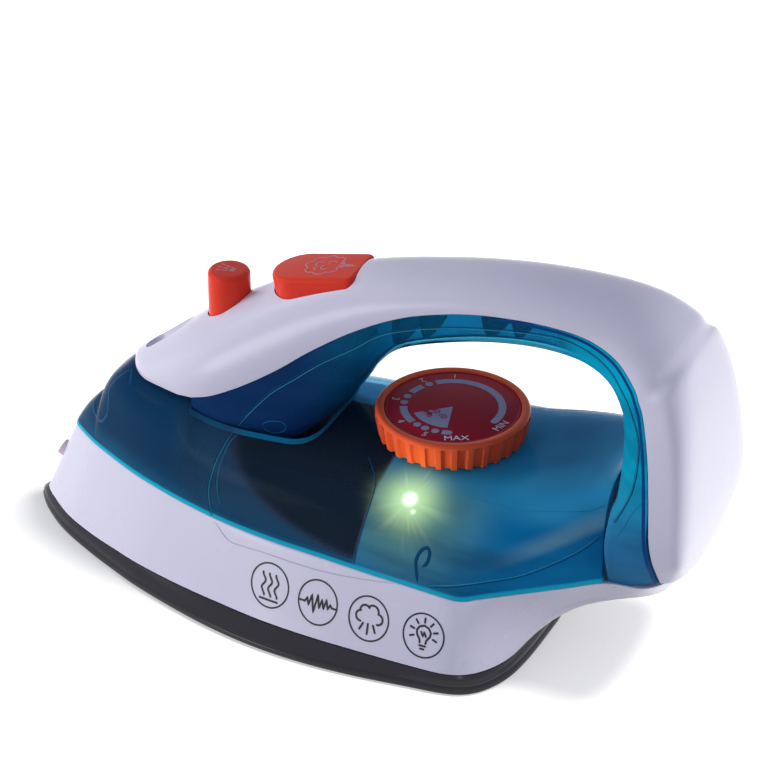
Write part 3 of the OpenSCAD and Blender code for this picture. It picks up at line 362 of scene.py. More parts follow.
handleShares = [
    (-0.418, 0.526, -0.455, 0.684, -0.418, 0.408, 0.382, 2.1, 5),
    (-0.364, 0.544, -0.405, 0.715, -0.364, 0.408, 0.392, 2.1, 5),
    (-0.3, 0.575, -0.35, 0.749, -0.295, 0.408, 0.386, 2.1, 5),
    (-0.227, 0.617, -0.286, 0.786, -0.223, 0.410, 0.368, 2.1, 5),
    (-0.155, 0.665, -0.223, 0.82, -0.15, 0.425, 0.346, 2.1, 4.6),
    (-0.095, 0.71, -0.164, 0.848, -0.082, 0.477, 0.326, 2.1, 3.8),
    (-0.036, 0.75, -0.105, 0.874, -0.023, 0.532, 0.308, 2.1, 3),
    (0.018, 0.784, -0.045, 0.898, 0.027, 0.603, 0.294, 2.1, 2.7),
    (0.077, 0.817, 0.018, 0.919, 0.073, 0.669, 0.284, 2.1, 2.6),
    (0.141, 0.848, 0.091, 0.937, 0.132, 0.723, 0.278, 2.1, 2.5),
    (0.218, 0.877, 0.186, 0.956, 0.218, 0.759, 0.274, 2.1, 2.5),
    (0.345, 0.909, 0.336, 0.981, 0.355, 0.797, 0.274, 2.1, 2.5),
    (0.473, 0.925, 0.491, 0.997, 0.482, 0.818, 0.28, 2.1, 2.5),
    (0.591, 0.929, 0.627, 1, 0.582, 0.822, 0.29, 2.15, 2.5),
    (0.686, 0.919, 0.741, 0.995, 0.664, 0.809, 0.302, 2.2, 2.5),
    (0.764, 0.889, 0.827, 0.973, 0.727, 0.774, 0.332, 2.4, 2.5),
    (0.818, 0.839, 0.897, 0.933, 0.764, 0.716, 0.374, 2.6, 2.5),
    (0.838, 0.806, 0.926, 0.898, 0.77, 0.683, 0.398, 2.8, 2.55),
    (0.855, 0.77, 0.945, 0.856, 0.775, 0.648, 0.423, 4.8, 2.6),
    (0.88, 0.678, 0.974, 0.746, 0.782, 0.575, 0.483, 6.5, 3.4),
    (0.897, 0.575, 0.992, 0.613, 0.785, 0.51, 0.539, 8, 5), (0.908, 0.485, 1, 0.489, 0.786, 0.442, 0.578, 9, 7),
    (0.916, 0.425, 0.999, 0.429, 0.787, 0.386, 0.56, 9, 8), (0.922, 0.377, 0.996, 0.384, 0.787, 0.334, 0.508, 5, 8),
    (0.927, 0.334, 0.991, 0.347, 0.787, 0.283, 0.45, 2.9, 8)]


# Smooth curve through the rows of a table
def smoothRows(rows, steps):
    t = np.array(rows, float)
    last = len(t) - 1
    made = []
    for i in range(last):
        a, b, c, d = t[max(i - 1, 0)], t[i], t[i + 1], t[min(i + 2, last)]
        for j in range(steps):
            s = j / steps
            made.append(0.5 * (2 * b + (c - a) * s + (2 * a - 5 * b + 4 * c - d) * s * s
                               + (3 * b - a - 3 * c + d) * s ** 3))
    return np.array(made + [t[last]])


def outlineSide(shares, steps):
    rows = smoothRows([(*s, 0) if len(s) == 2 else s for s in shares], steps)
    rows[:, 1] = np.maximum(rows[:, 1], 0)
    return rows * (halfLength, halfWidth, ironHeight)


def ringed(side):
    return np.vstack([side, (side[1:-1] * (1, -1, 1))[::-1]])


# A ring moved inward in plan by d and up by h
def inset(ring, d, h=0.0):
    t = np.roll(ring, -1, 0) - np.roll(ring, 1, 0)
    t[:, 2] = 0
    t /= np.maximum(np.linalg.norm(t, axis=1), 1e-9)[:, None]
    made = ring + np.stack([t[:, 1] * d, -t[:, 0] * d, np.full(len(ring), h)], 1)
    i = np.arange(len(ring))
    # No side may cross the middle
    least = np.minimum(np.minimum(i, len(ring) - i), abs(len(ring) // 2 - i)) * 0.03 * mm
    made[:, 1] = np.where(i < len(ring) / 2, np.maximum(made[:, 1], least), np.minimum(made[:, 1], -least))
    return made


# Faces over rings of the same count: "loop" closes them on themselves, "flat" caps outlines, "arch" caps shell sections
def skinRings(rings, mode, heights=None):
    bm = bmesh.new()
    layer = bm.loops.layers.uv.new("shell") if heights is not None else None
    count, n = len(rings), len(rings[0])
    grid = [[bm.verts.new(p) for p in ring] for ring in rings]
    mark = {}
    if layer:
        for r in range(count):
            for j in range(n):
                mark[grid[r][j]] = (r / count, heights[r][j])

    def face(corners):
        corners = [c for i, c in enumerate(corners) if c not in corners[:i]]
        if len(corners) > 2:
            made = bm.faces.new(corners)
            for loop in made.loops if layer else ():
                loop[layer].uv = mark[loop.vert]

    for r in range(count if mode == "loop" else count - 1):
        a, b = grid[r], grid[(r + 1) % count]
        for j in range(n):
            face((a[j], a[(j + 1) % n], b[(j + 1) % n], b[j]))
    for ring in (grid[0], grid[-1]) if mode != "loop" else ():
        if mode == "flat":
            for j in range(n // 2):
                face((ring[j], ring[j + 1], ring[n - j - 1], ring[(n - j) % n]))
        else:
            for j in range(n // 2 - 1):
                face((ring[j], ring[j + 1], ring[n - 2 - j], ring[n - 1 - j]))
    bmesh.ops.remove_doubles(bm, verts=bm.verts, dist=2e-7)
    bmesh.ops.dissolve_degenerate(bm, edges=bm.edges, dist=1e-7)
    bmesh.ops.recalc_face_normals(bm, faces=bm.faces)
    return bm


# A finished piece from a bmesh: smooth shaded, sharp where it turns by more than the angle
def makePiece(name, bm, material, body, replaced=None, sharp=30):
    mesh = bpy.data.meshes.new(name)
    bm.to_mesh(mesh)
    bm.free()
    mesh.materials.append(material)
    piece = bpy.data.objects.new(name, mesh)
    bpy.context.scene.collection.objects.link(piece)
    mesh.polygons.foreach_set("use_smooth", [True] * len(mesh.polygons))
    mesh.set_sharp_from_angle(angle=math.radians(sharp))
    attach(piece, body)
    if replaced:
        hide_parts(replaced)


# One solid cut by, joined to or kept inside another, with both bmeshes used up
def carve(target, tool, operation="DIFFERENCE"):
    pieces = []
    for bm in (target, tool):
        mesh = bpy.data.meshes.new("carving")
        bm.to_mesh(mesh)
        bm.free()
        piece = bpy.data.objects.new("carving", mesh)
        bpy.context.scene.collection.objects.link(piece)
        pieces.append(piece)
    step = pieces[0].modifiers.new("cut", "BOOLEAN")
    step.operation, step.object, step.solver = operation, pieces[1], "EXACT"
    shown = pieces[0].evaluated_get(bpy.context.evaluated_depsgraph_get())
    made = bmesh.new()
    made.from_mesh(shown.to_mesh())
    shown.to_mesh_clear()
    for piece in pieces:
        mesh = piece.data
        bpy.data.objects.remove(piece)
        bpy.data.meshes.remove(mesh)
    return made


def moved(bm, matrix):
    bmesh.ops.transform(bm, matrix=matrix, verts=bm.verts)
    return bm


def joined(*parts):
    made = bmesh.new()
    for bm in parts:
        mesh = bpy.data.meshes.new("part")
        bm.to_mesh(mesh)
        bm.free()
        made.from_mesh(mesh)
        bpy.data.meshes.remove(mesh)
    return made


# A solid round a stack of rings of the same count, closed at both ends
def stacked(rings, weld=0.0):
    bm = bmesh.new()
    grid = [[bm.verts.new(p) for p in ring] for ring in rings]
    n = len(grid[0])
    for a, b in zip(grid, grid[1:]):
        for j in range(n):
            bm.faces.new((a[j], a[(j + 1) % n], b[(j + 1) % n], b[j]))
    for ring in (grid[0], grid[-1]):
        bm.faces.new(ring)
    if weld:
        bmesh.ops.remove_doubles(bm, verts=bm.verts, dist=weld)
    bmesh.ops.recalc_face_normals(bm, faces=bm.faces)
    return bm


# A turned solid about Z from a profile of radius and height
def turned(profile, steps=96, wave=None):
    angles = np.arange(steps) * 2 * math.pi / steps
    rings = []
    for r, z in profile:
        reach = wave(r, z, angles) if wave else np.full(steps, max(r, 1e-9))
        rings.append(np.stack([reach * np.cos(angles), reach * np.sin(angles), np.full(steps, z)], 1))
    return stacked(rings, 2e-8)


def barrel(radius, low, high, at=(0, 0, 0), steps=48):
    return moved(turned([(radius, low), (radius, high)], steps), Matrix.Translation(at))


def block(low, high):
    bm = bmesh.new()
    bmesh.ops.create_cube(bm, size=1)
    size, middle = np.subtract(high, low), np.add(high, low) / 2
    return moved(bm, Matrix.Translation(middle) @ Matrix.Diagonal((*size, 1)))


# A prism over a plan outline
def prism(plan, low, high):
    return stacked([[(x, y, z) for x, y in plan] for z in (low, high)])


outlineSteps = 8
topSide = outlineSide(soleTopShares, outlineSteps)
topRing = ringed(topSide)
soleRing = ringed(outlineSide(soleEdgeShares, outlineSteps))
seamSide = outlineSide(seamShares, outlineSteps)
seamRing = ringed(seamSide)
fluteStart = len(topSide) - (len(fluteShares) - 1) * outlineSteps - 1  # where the hollow tail begins
fluteSide = topSide + (seamSide - topSide) * 0.16
fluteSide[fluteStart:] = outlineSide(fluteShares, outlineSteps)
fluteRing = ringed(fluteSide)
deck = max(topSide[:, 2])

# Places of the working parts, as in the source
dial = {"x": 0.267 * halfLength, "radius": 22.6 * mm, "height": 8.6 * mm, "ribs": 30, "ribDepth": 1.15 * mm,
        "recess": 1.6 * mm, "disc": 1.2 * mm, "edge": 1.25 * mm, "shaft": 3 * mm, "screw": 1.3 * mm}
spray = {"x": -0.382 * halfLength, "top": 0.821 * ironHeight, "base": 0.641 * ironHeight, "radius": 6.3 * mm}
steam = {"x": 0.011 * halfLength, "top": 0.911 * ironHeight, "tilt": 12.0, "depth": 0.1063 * ironHeight,
         "length": 29 * mm, "width": 18 * mm, "corner": 2.4 * mm}
nozzle = {"x": -0.921 * halfLength, "z": 0.162 * ironHeight, "radius": 2.5 * mm, "tilt": -62.0}
buttonGap = 0.35 * mm
pillarPlaces = [(x * halfLength, side * y * halfWidth) for x, y in ((0.4, 0.543), (-0.527, 0.262)) for side in (-1, 1)]
doorLow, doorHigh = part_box("battery_door")
trayLow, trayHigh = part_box("battery_tray")
speakerLow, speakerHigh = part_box("speaker")
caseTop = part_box("module_case")[1].z


def tiltedPlace(x, z, tilt):
    return Matrix.Translation((x, 0, z)) @ Matrix.Rotation(math.radians(tilt), 4, "Y")


steamPlace = tiltedPlace(steam["x"], steam["top"], -steam["tilt"])
nozzlePlace = tiltedPlace(nozzle["x"], nozzle["z"], nozzle["tilt"])

# Sole plate: rounded lip, a groove over it, then the black band up to the skirt

sole = {"lip": 2.3 * mm, "round": 0.9 * mm, "groove": 0.45 * mm, "bow": 0.35 * mm, "trayWall": 1.6 * mm,
        "soundHole": 1.62 * mm, "soundRing": 0.24, "counterbore": 2.9 * mm, "boreDepth": 3.25 * mm,
        "screwHole": 1.55 * mm, "under": -1 * mm, "over": 9 * mm}


def makeSole():
    lip, groove, curve = sole["lip"], sole["groove"], sole["round"]
    edge = [(curve * (1 - math.sin(a)), curve * (1 - math.cos(a))) for a in np.linspace(0, math.pi / 2, 6)]
    edge += [(0, lip - 0.7 * mm), (0.12 * mm, lip - 0.25 * mm), (groove, lip), (groove + 0.15 * mm, lip + 0.2 * mm),
             (groove * 0.8, lip + 0.5 * mm)]
    rings = [inset(soleRing, d, z) for d, z in edge]
    low = rings[-1]
    rings += [inset(low + (topRing - low) * s, -sole["bow"] * math.sin(s * math.pi)) for s in (0.25, 0.5, 0.75, 0.93)]
    bm = skinRings(rings + [topRing], "flat")
    under, over, inside = sole["under"], sole["over"], sole["trayWall"]
    cuts = [block((doorLow.x - seatGap, doorLow.y - seatGap, under),
                  (doorHigh.x + seatGap, doorHigh.y + seatGap, doorHigh.z + 0.05 * mm)),
            block((trayLow.x + inside, trayLow.y + inside, 1 * mm), (trayHigh.x - inside, trayHigh.y - inside, over))]
    cuts += [barrel(sole["counterbore"], under, sole["boreDepth"], (x, y, 0)) for x, y in pillarPlaces]
    cuts += [barrel(sole["screwHole"], 3 * mm, over, (x, y, 0)) for x, y in pillarPlaces]
    middle, reach = (speakerLow.x + speakerHigh.x) / 2, (speakerHigh.x - speakerLow.x) * sole["soundRing"]
    sounds = [(0, 0)] + [(reach * math.cos(a), reach * math.sin(a)) for a in np.arange(6) * math.pi / 3]
    cuts += [barrel(sole["soundHole"], under, over, (middle + x, y, 0), 32) for x, y in sounds]
    for cut in cuts:
        bm = carve(bm, cut)
    makePiece("solePlate", bm, blackPlastic, "housing", "sole_plate", 40)


makeSole()
print("sole plate made")

# White skirt with its hollow tail

skirt = {"coveDepth": 0.022 * halfLength, "nozzleFit": 0.08 * mm, "holeFrom": -7.5 * mm, "holeTo": 5 * mm}


def makeSkirt():
    foot = topRing + (0, 0, seatGap)
    n = len(foot)
    fromTip = np.minimum(np.arange(n), n - np.arange(n))
    tail = np.clip((fromTip - fluteStart) / outlineSteps / 4, 0, 1)
    bow = np.stack([-skirt["coveDepth"] * tail, np.zeros(n), skirt["coveDepth"] * tail], 1)

    def coveAt(s):
        return foot + (fluteRing - foot) * s + bow * math.sin(s * math.pi)

    def sideAt(s):
        return fluteRing + (seamRing - fluteRing) * s
    rings = [coveAt(s) for s in (0, 0.12, 0.25, 0.38, 0.5, 0.62, 0.75, 0.88)]
    rings += [sideAt(s) for s in (0, 0.04, 0.15, 0.3, 0.45, 0.6, 0.75, 0.9, 0.97)]
    rings += [inset(sideAt(0.985), 0.05 * mm), inset(seamRing, 0.22 * mm)]
    rings += [inset(sideAt(s), wall) for s in (1, 0.75, 0.5, 0.25, 0)]
    rings += [inset(coveAt(s), wall) for s in (0.75, 0.5, 0.25, 0)]
    hole = barrel(nozzle["radius"] + skirt["nozzleFit"], skirt["holeFrom"], skirt["holeTo"], steps=64)
    return carve(skinRings(rings, "loop"), moved(hole, nozzlePlace))


skirtMesh = makeSkirt()
skirtTree = BVHTree.FromBMesh(skirtMesh)
makePiece("lowerSkirt", skirtMesh, whitePlastic, "housing", "lower_skirt")
print("skirt made")

# Teal tank

tank = {"arch": 56, "rows": 7, "dialHole": 3.08 * mm, "collar": 5.6 * mm, "post": 3.4 * mm, "postBore": 1.3 * mm,
        "postDepth": 15 * mm, "collarDrop": 2.7 * mm, "holeBelow": 6 * mm, "holeAbove": 4 * mm,
        "front": -0.42 * halfLength, "back": -0.053 * halfLength, "side": 0.398 * halfWidth}
domeRows = smoothRows(domeShares, tank["rows"]) * (halfLength, ironHeight, 1)


def archShare(n, steps):
    a = np.linspace(0, math.pi, steps + 1)
    c, s = np.cos(a), np.sin(a)
    c[steps // 2] = 0 if steps % 2 == 0 else c[steps // 2]
    return np.sign(c) * np.abs(c) ** (2 / n), np.abs(np.clip(s, 0, 1)) ** (2 / n)


def seamAt(x, column):
    return np.interp(x, seamSide[:, 0], seamSide[:, column])


def crestAt(x):
    return np.interp(x, domeRows[:, 0], domeRows[:, 1])


def domeAt(x, y):
    low, n = seamAt(x, 2) + seatGap, np.interp(x, domeRows[:, 0], domeRows[:, 2])
    return low + (crestAt(x) - low) * max(0, 1 - (abs(y) / seamAt(x, 1)) ** n) ** (1 / n)


def makeTank():
    rings, heights = [], []
    for x, top, n in domeRows:
        w, low, back = seamAt(x, 1), seamAt(x, 2) + seatGap, x - wall
        inW = max(w * 0.2, min(w - wall * 1.15, seamAt(back, 1)))
        inTop = max(low + (top - low) * 0.2, min(top - wall, crestAt(back)))
        c, s = archShare(n, tank["arch"])
        outer, inner = [np.stack([np.full(len(c), x), -half * c, low + (head - low) * s], 1)
                        for half, head in ((w, top), (inW, inTop))]
        rings.append(np.vstack([outer, inner[::-1]]))
        heights.append((rings[-1][:, 2] - low) / (10 * mm))
    bm = skinRings(rings, "arch", heights)
    bm = carve(bm, prism(tankOpening(), caseTop + 0.05 * mm, caseTop + 20 * mm))
    seat, at = crestAt(dial["x"]), (dial["x"], 0, 0)
    bm = carve(bm, barrel(tank["collar"], seat - wall - tank["collarDrop"], seat - wall / 2, at, 64), "UNION")
    bm = carve(bm, barrel(tank["dialHole"], seat - tank["holeBelow"], seat + tank["holeAbove"], at, 64))
    for x, y in pillarPlaces:
        head = domeAt(x, abs(y) + tank["post"]) - wall / 4
        bore = barrel(tank["postBore"], deck, deck + tank["postDepth"], (x, y, 0), 24)
        bm = carve(bm, carve(barrel(tank["post"], deck + seatGap, head, (x, y, 0)), bore), "UNION")
    return bm


# The opening under the handle's foot: straight in front, rounded behind
def tankOpening():
    front, side = tank["front"], tank["side"]
    straight = tank["back"] - side * 0.7
    c, s = archShare(4, 24)
    plan = [(front, -side), (front, side)]
    plan += [(straight + side * 0.7 * b, side * a) for a, b in zip(c, s)] + [(straight, -side)]
    before = plan[:1] + plan
    return [p for i, (p, q) in enumerate(zip(plan, before)) if i == 0 or abs(p[0] - q[0]) + abs(p[1] - q[1]) > 1e-6]


tankMesh = makeTank()
tankTree = BVHTree.FromBMesh(tankMesh)
makePiece("tankShell", tankMesh, tealTank, "housing", "tank_shell", 34)
print("tank made")

# Handle: white cover over a teal frame

# Ribs by place and thickness in mm
handle = {"arch": 44, "rows": 8, "footSide": 0.29 * halfWidth, "footFront": -0.45 * halfLength,
          "footBack": -0.19 * halfLength, "footHeight": 0.1 * ironHeight,
          "ribs": ((16.6, 2.4), (24.2, 0.7), (43.2, 1.8), (51.8, 0.6), (67.2, 2.0), (72.4, 0.6))}
handleRows = smoothRows(handleShares, handle["rows"])
visorRows = smoothRows(visorShares, 4)


def atX(x, z):
    return np.array((x * halfLength, 0, z * ironHeight))


def flatRow(y):
    return np.stack([np.zeros_like(y), y, np.zeros_like(y)], 1)


# A shell section from its middle c to its crest o, half as wide as w: an outer arch and an inner one
def archSection(c, o, w, n, side, steps):
    across, up = archShare(n, steps)
    d = o - c
    h = np.linalg.norm(d)

    def arc(inward):
        y = side * max(w * 0.2, w - inward) * across
        return c + flatRow(y) + np.outer(up, d * (max(h * 0.2, h - inward) / h))
    return np.vstack([arc(0.0), arc(wall)[::-1]])


def makeFrame():
    rings = []
    for s in handleRows:
        c, i = atX(s[0], s[1]), atX(s[4], s[5])
        c = c + (i - c) / np.linalg.norm(i - c) * seatGap
        squarer = 16 * min(1, max(0, (s[0] - 0.893) / 0.014))  # the column stands flush against the tank's end
        rings.append(archSection(c, i, s[6] * halfWidth, s[8] + squarer, 1, handle["arch"]))
    bm = skinRings(rings, "arch", np.ones((len(rings), len(rings[0]))))
    side, head = handle["footSide"], caseTop + handle["footHeight"]
    return carve(bm, block((handle["footFront"], -side, caseTop), (handle["footBack"], side, head)))


# Cross ribs inside the clear handle
def makeFrameRibs():
    inside = wall + 0.2 * mm
    parts = []
    for x, thick in handle["ribs"]:
        rings = []
        for at in ((x - thick / 2) * mm, (x + thick / 2) * mm):
            s = [np.interp(at, handleRows[:, 0] * halfLength, column) for column in handleRows.T]
            c, i = atX(s[0], s[1]), atX(s[4], s[5])
            low = c + (i - c) / np.linalg.norm(i - c) * 1 * mm
            across, up = archShare(s[8], 24)
            h = np.linalg.norm(i - low)
            y = (s[6] * halfWidth - inside) * across
            rings.append(low + flatRow(y) + np.outer(up, (i - low) * ((h - inside) / h)))
        parts.append(stacked(rings, 1e-7))
    makePiece("frameRibs", joined(*parts), ribTeal, "housing", sharp=40)


makeFrameRibs()

scoop = {"from": (-0.607 * halfLength, 0, 0.575 * ironHeight), "to": (-0.53 * halfLength, 0, 0.628 * ironHeight),
         "radius": 4.6 * mm, "wall": 1.3 * mm}


# A bar with round ends between two points
def capsule(a, b, r, steps=40):
    along = Vector(b) - Vector(a)
    h = along.length
    turn = np.linspace(0, math.pi / 2, 10)
    profile = [(r * math.sin(t), -r * math.cos(t)) for t in turn]
    profile += [(r * math.cos(t), h + r * math.sin(t)) for t in turn]
    return moved(turned(profile, steps), Matrix.Translation(a) @ along.to_track_quat("Z", "Y").to_matrix().to_4x4())


def steamOutline(d):
    r, corner = steam["width"] / 2 - d, steam["corner"]
    tip = -steam["length"] + steam["width"] / 2
    plan = [(tip + r * math.cos(a), r * math.sin(a)) for a in np.linspace(math.pi / 2, math.pi * 1.5, 40)]
    for start, side in ((-math.pi / 2, -1), (0, 1)):
        for a in np.linspace(start, start + math.pi / 2, 9):
            plan.append((-corner + (corner - d) * math.cos(a), side * (r - corner + d) + (corner - d) * math.sin(a)))
    return plan


def makeCover():
    sections = [(*s[:4], s[4], s[5]) for s in visorRows] + [(*s[:4], s[6], s[7]) for s in handleRows]
    bm = skinRings([archSection(atX(lowX, lowZ), atX(highX, highZ), w * halfWidth, n, -1, handle["arch"])
                    for lowX, lowZ, highX, highZ, w, n in sections], "arch")
    a, b = Vector(scoop["from"]), Vector(scoop["to"])
    slope = math.atan2(b.z - a.z, b.x - a.x)
    r, thick = scoop["radius"], scoop["wall"]
    under = block((-3 * r, -2 * r, -3 * r - thick), (7 * r, 2 * r, -thick))
    under = moved(under, Matrix.Translation(a) @ Matrix.Rotation(-slope, 4, "Y"))
    bm = carve(bm, carve(capsule(a, b, r + thick), under, "INTERSECT"), "UNION")
    bm = carve(bm, capsule(a, b, r))
    bm = carve(bm, barrel(spray["radius"] + buttonGap, spray["base"], spray["top"], (spray["x"], 0, 0), 96))
    return carve(bm, moved(prism(steamOutline(-buttonGap), -steam["depth"], steam["depth"]), steamPlace))


frameMesh = makeFrame()
frameTree = BVHTree.FromBMesh(frameMesh)
makePiece("handleFrame", frameMesh, tealHandle, "housing", "handle_frame", 34)
coverMesh = makeCover()
makePiece("handleCover", coverMesh, whitePlastic, "housing", "handle_cover")
print("handle made")

# Dial: smooth rounded top ring, ribs below it, disc in its recess

dialFoot = crestAt(dial["x"]) + seatGap
dialTop = dialFoot + dial["height"]
dialRim = dial["radius"] * 0.88


def makeDial():
    top, r, edge, ribSteps = dialTop, dial["radius"], dial["edge"], 12

    def wave(reach, z, angles):
        if reach < dialRim + 0.3 * mm:
            return np.full(len(angles), reach)
        share = (np.arange(len(angles)) % ribSteps) / ribSteps
        crown = np.clip((0.27 - np.abs(share - 0.5)) / 0.08, 0, 1)
        depth = np.clip((top - 1.15 * mm - z) / (0.9 * mm), 0, 1)
        return reach - dial["ribDepth"] * depth * (1 - crown * crown * (3 - 2 * crown))
    foot = dialFoot + 0.2 * mm
    profile = [(r * 0.945, dialFoot), (r * 0.952, foot)]
    profile += [(r * (0.955 + 0.045 * s), foot + (dial["height"] - 2.6 * mm) * s) for s in (0.25, 0.5, 0.75, 1)]
    profile += [(r - d * mm, top - h * mm) for d, h in ((0.02, 2.1), (0.03, 1.8), (0.03, 1.5), (0.05, 1.25))]
    profile += [(r - 0.05 * mm - edge * 0.9 * (1 - math.cos(a)), top - edge + edge * math.sin(a))
                for a in np.linspace(0.2, math.pi / 2, 8)]
    profile += [(dialRim + d * mm, top - h * mm) for d, h in ((0.45, 0), (0.15, 0.12), (0.03, 0.4))]
    profile += [(dialRim + 0.01 * mm, top - dial["recess"]), (0, top - dial["recess"])]
    under = dialFoot - seatGap - wall  # the inside of the tank's crest
    shaft = carve(barrel(dial["shaft"], under - 3 * mm, dialFoot + 0.3 * mm, steps=64),
                  barrel(dial["screw"], dialFoot - 10 * mm, under + 1 * mm, steps=24))
    bm = carve(turned(profile, dial["ribs"] * ribSteps, wave), shaft, "UNION")
    bm = moved(bm, Matrix.Translation((dial["x"], 0, 0)))
    makePiece("dialKnob", bm, dialPlastic, "dial", "dial_knob", 38)


def makeDisc():
    foot = dialTop - dial["recess"] + 0.05 * mm
    r, head = dialRim - 0.1 * mm, foot + dial["disc"]
    # In from the rim and down from the top, in mm
    edge = ((0, 0.15), (0.15, 0), (0.6, 0), (0.75, 0.08), (1.0, 0.08), (1.15, 0))
    profile = [(0, foot), (r, foot)] + [(r - d * mm, head - h * mm) for d, h in edge] + [(0, head)]
    bm = moved(turned(profile, 128), Matrix.Translation((dial["x"], 0, 0)))
    makePiece("dialDisc", bm, darkRedPlastic, "dial", "dial_disc", 40)
    return head


makeDial()
discTop = makeDisc()
print("dial made")

# Prints: thin raised lines laid on a surface

inkLift = {"above": 0.06 * mm, "below": 0.05 * mm, "step": 0.6 * mm, "letters": 0.12 * mm}


def spaced(path, closed, step):
    points = [Vector(p) for p in path]
    if closed:
        points.append(points[0])
    made = []
    for a, b in zip(points, points[1:]):
        count = max(1, math.ceil((b - a).length / step))
        made += [a.lerp(b, k / count) for k in range(count)]
    return made if closed else made + [points[-1]]


# Ribbons of one width along flat paths, set on a surface by onSurface(u, v, lift)
def ribbons(paths, width, onSurface, step=inkLift["step"], roundEnds=(True, True)):
    bm = bmesh.new()
    for path, closed in paths:
        points = spaced(path, closed, step)
        n = len(points)
        left, right = [], []
        for i, p in enumerate(points):
            a = points[(i - 1) % n] if closed or i > 0 else p
            b = points[(i + 1) % n] if closed or i < n - 1 else p
            along, before, after = (b - a).normalized(), p - a, b - p
            turn = before.normalized().dot(after.normalized()) if before.length > 0 and after.length > 0 else 1
            reach = width / 2 / max(0.6, math.sqrt(max(0.0, (1 + turn) / 2)))
            side = Vector((-along.y, along.x)) * reach
            left.append(p + side)
            right.append(p - side)
        for end, beyond in ((0, points[0] - points[1]), (-1, points[-1] - points[-2])):
            if not closed and roundEnds[end]:
                out, across = beyond.normalized() * width / 2, (left[end] - right[end]) / 2
                for line, side in ((left, across), (right, -across)):
                    extra = [points[end] + side * math.cos(a) + out * math.sin(a) for a in (0.6, 1.15)]
                    line[:] = extra[::-1] + line if end == 0 else line + extra
        low, high = -inkLift["below"], inkLift["above"]
        rows = [[bm.verts.new(onSurface(*q, h)) for q, h in ((l, low), (l, high), (r, high), (r, low))]
                for l, r in zip(left, right)]
        for a, b in zip(rows, rows[1:] + rows[:1] if closed else rows[1:]):
            for j in range(4):
                bm.faces.new((a[j], a[(j + 1) % 4], b[(j + 1) % 4], b[j]))
        if not closed:
            bm.faces.new(rows[0])
            bm.faces.new(rows[-1])
    bmesh.ops.recalc_face_normals(bm, faces=bm.faces)
    return bm


# A flat filled shape raised on a surface
def patch(outline, onSurface):
    return stacked([[onSurface(*p, h) for p in outline] for h in (-inkLift["below"], inkLift["above"])])


def circle(u, v, r, steps=36):
    return [(u + r * math.cos(a), v + r * math.sin(a)) for a in np.arange(steps) * 2 * math.pi / steps]


def arcPath(u, v, r, low, high, steps=24):
    return [(u + r * math.cos(a), v + r * math.sin(a)) for a in np.radians(np.linspace(low, high, steps))]


# Letters and digits as a solid, centred on the origin in its own plane
def lettering(text, size, thick):
    curve = bpy.data.curves.new("lettering", "FONT")
    curve.body, curve.size, curve.align_x, curve.align_y = text, size, "CENTER", "CENTER"
    curve.extrude, curve.resolution_u = thick / 2, 4
    thing = bpy.data.objects.new("lettering", curve)
    bpy.context.scene.collection.objects.link(thing)
    shown = thing.evaluated_get(bpy.context.evaluated_depsgraph_get())
    bm = bmesh.new()
    bm.from_mesh(shown.to_mesh())
    shown.to_mesh_clear()
    bpy.data.objects.remove(thing)
    bpy.data.curves.remove(curve)
    bmesh.ops.remove_doubles(bm, verts=bm.verts, dist=1e-6)
    bmesh.ops.recalc_face_normals(bm, faces=bm.faces)
    return bm


# Bars as first and last angle with their rounded ends, dots as angles, words with their angle and size in mm,
# swirls as place and size in mm
dialPrint = {"band": 14.3 * mm, "width": 2.2 * mm, "dot": 1.15 * mm, "wedge": 11.8 * mm, "wordRing": 17.2 * mm,
             "bars": ((-11, 133, (True, False)), (151, 170, (False, False)), (203, 239, (False, False)),
                      (280, 288, (False, True))),
             "dots": (142, 180, 194, 247, 259, 272),
             "words": (("MIN", -14, 3.3), ("1", 111, 3.2), ("2", 144, 3.2), ("3", -171, 3.2), ("4", -128, 3.2),
                       ("5", -95, 3.2)),
             "most": (("MAX", -64, 3.4),),
             "swirls": ((-3.2, -4.6, 1.3), (-0.4, -6.4, 1.35), (-4.4, -7.4, 1.1)), "line": 0.28 * mm}


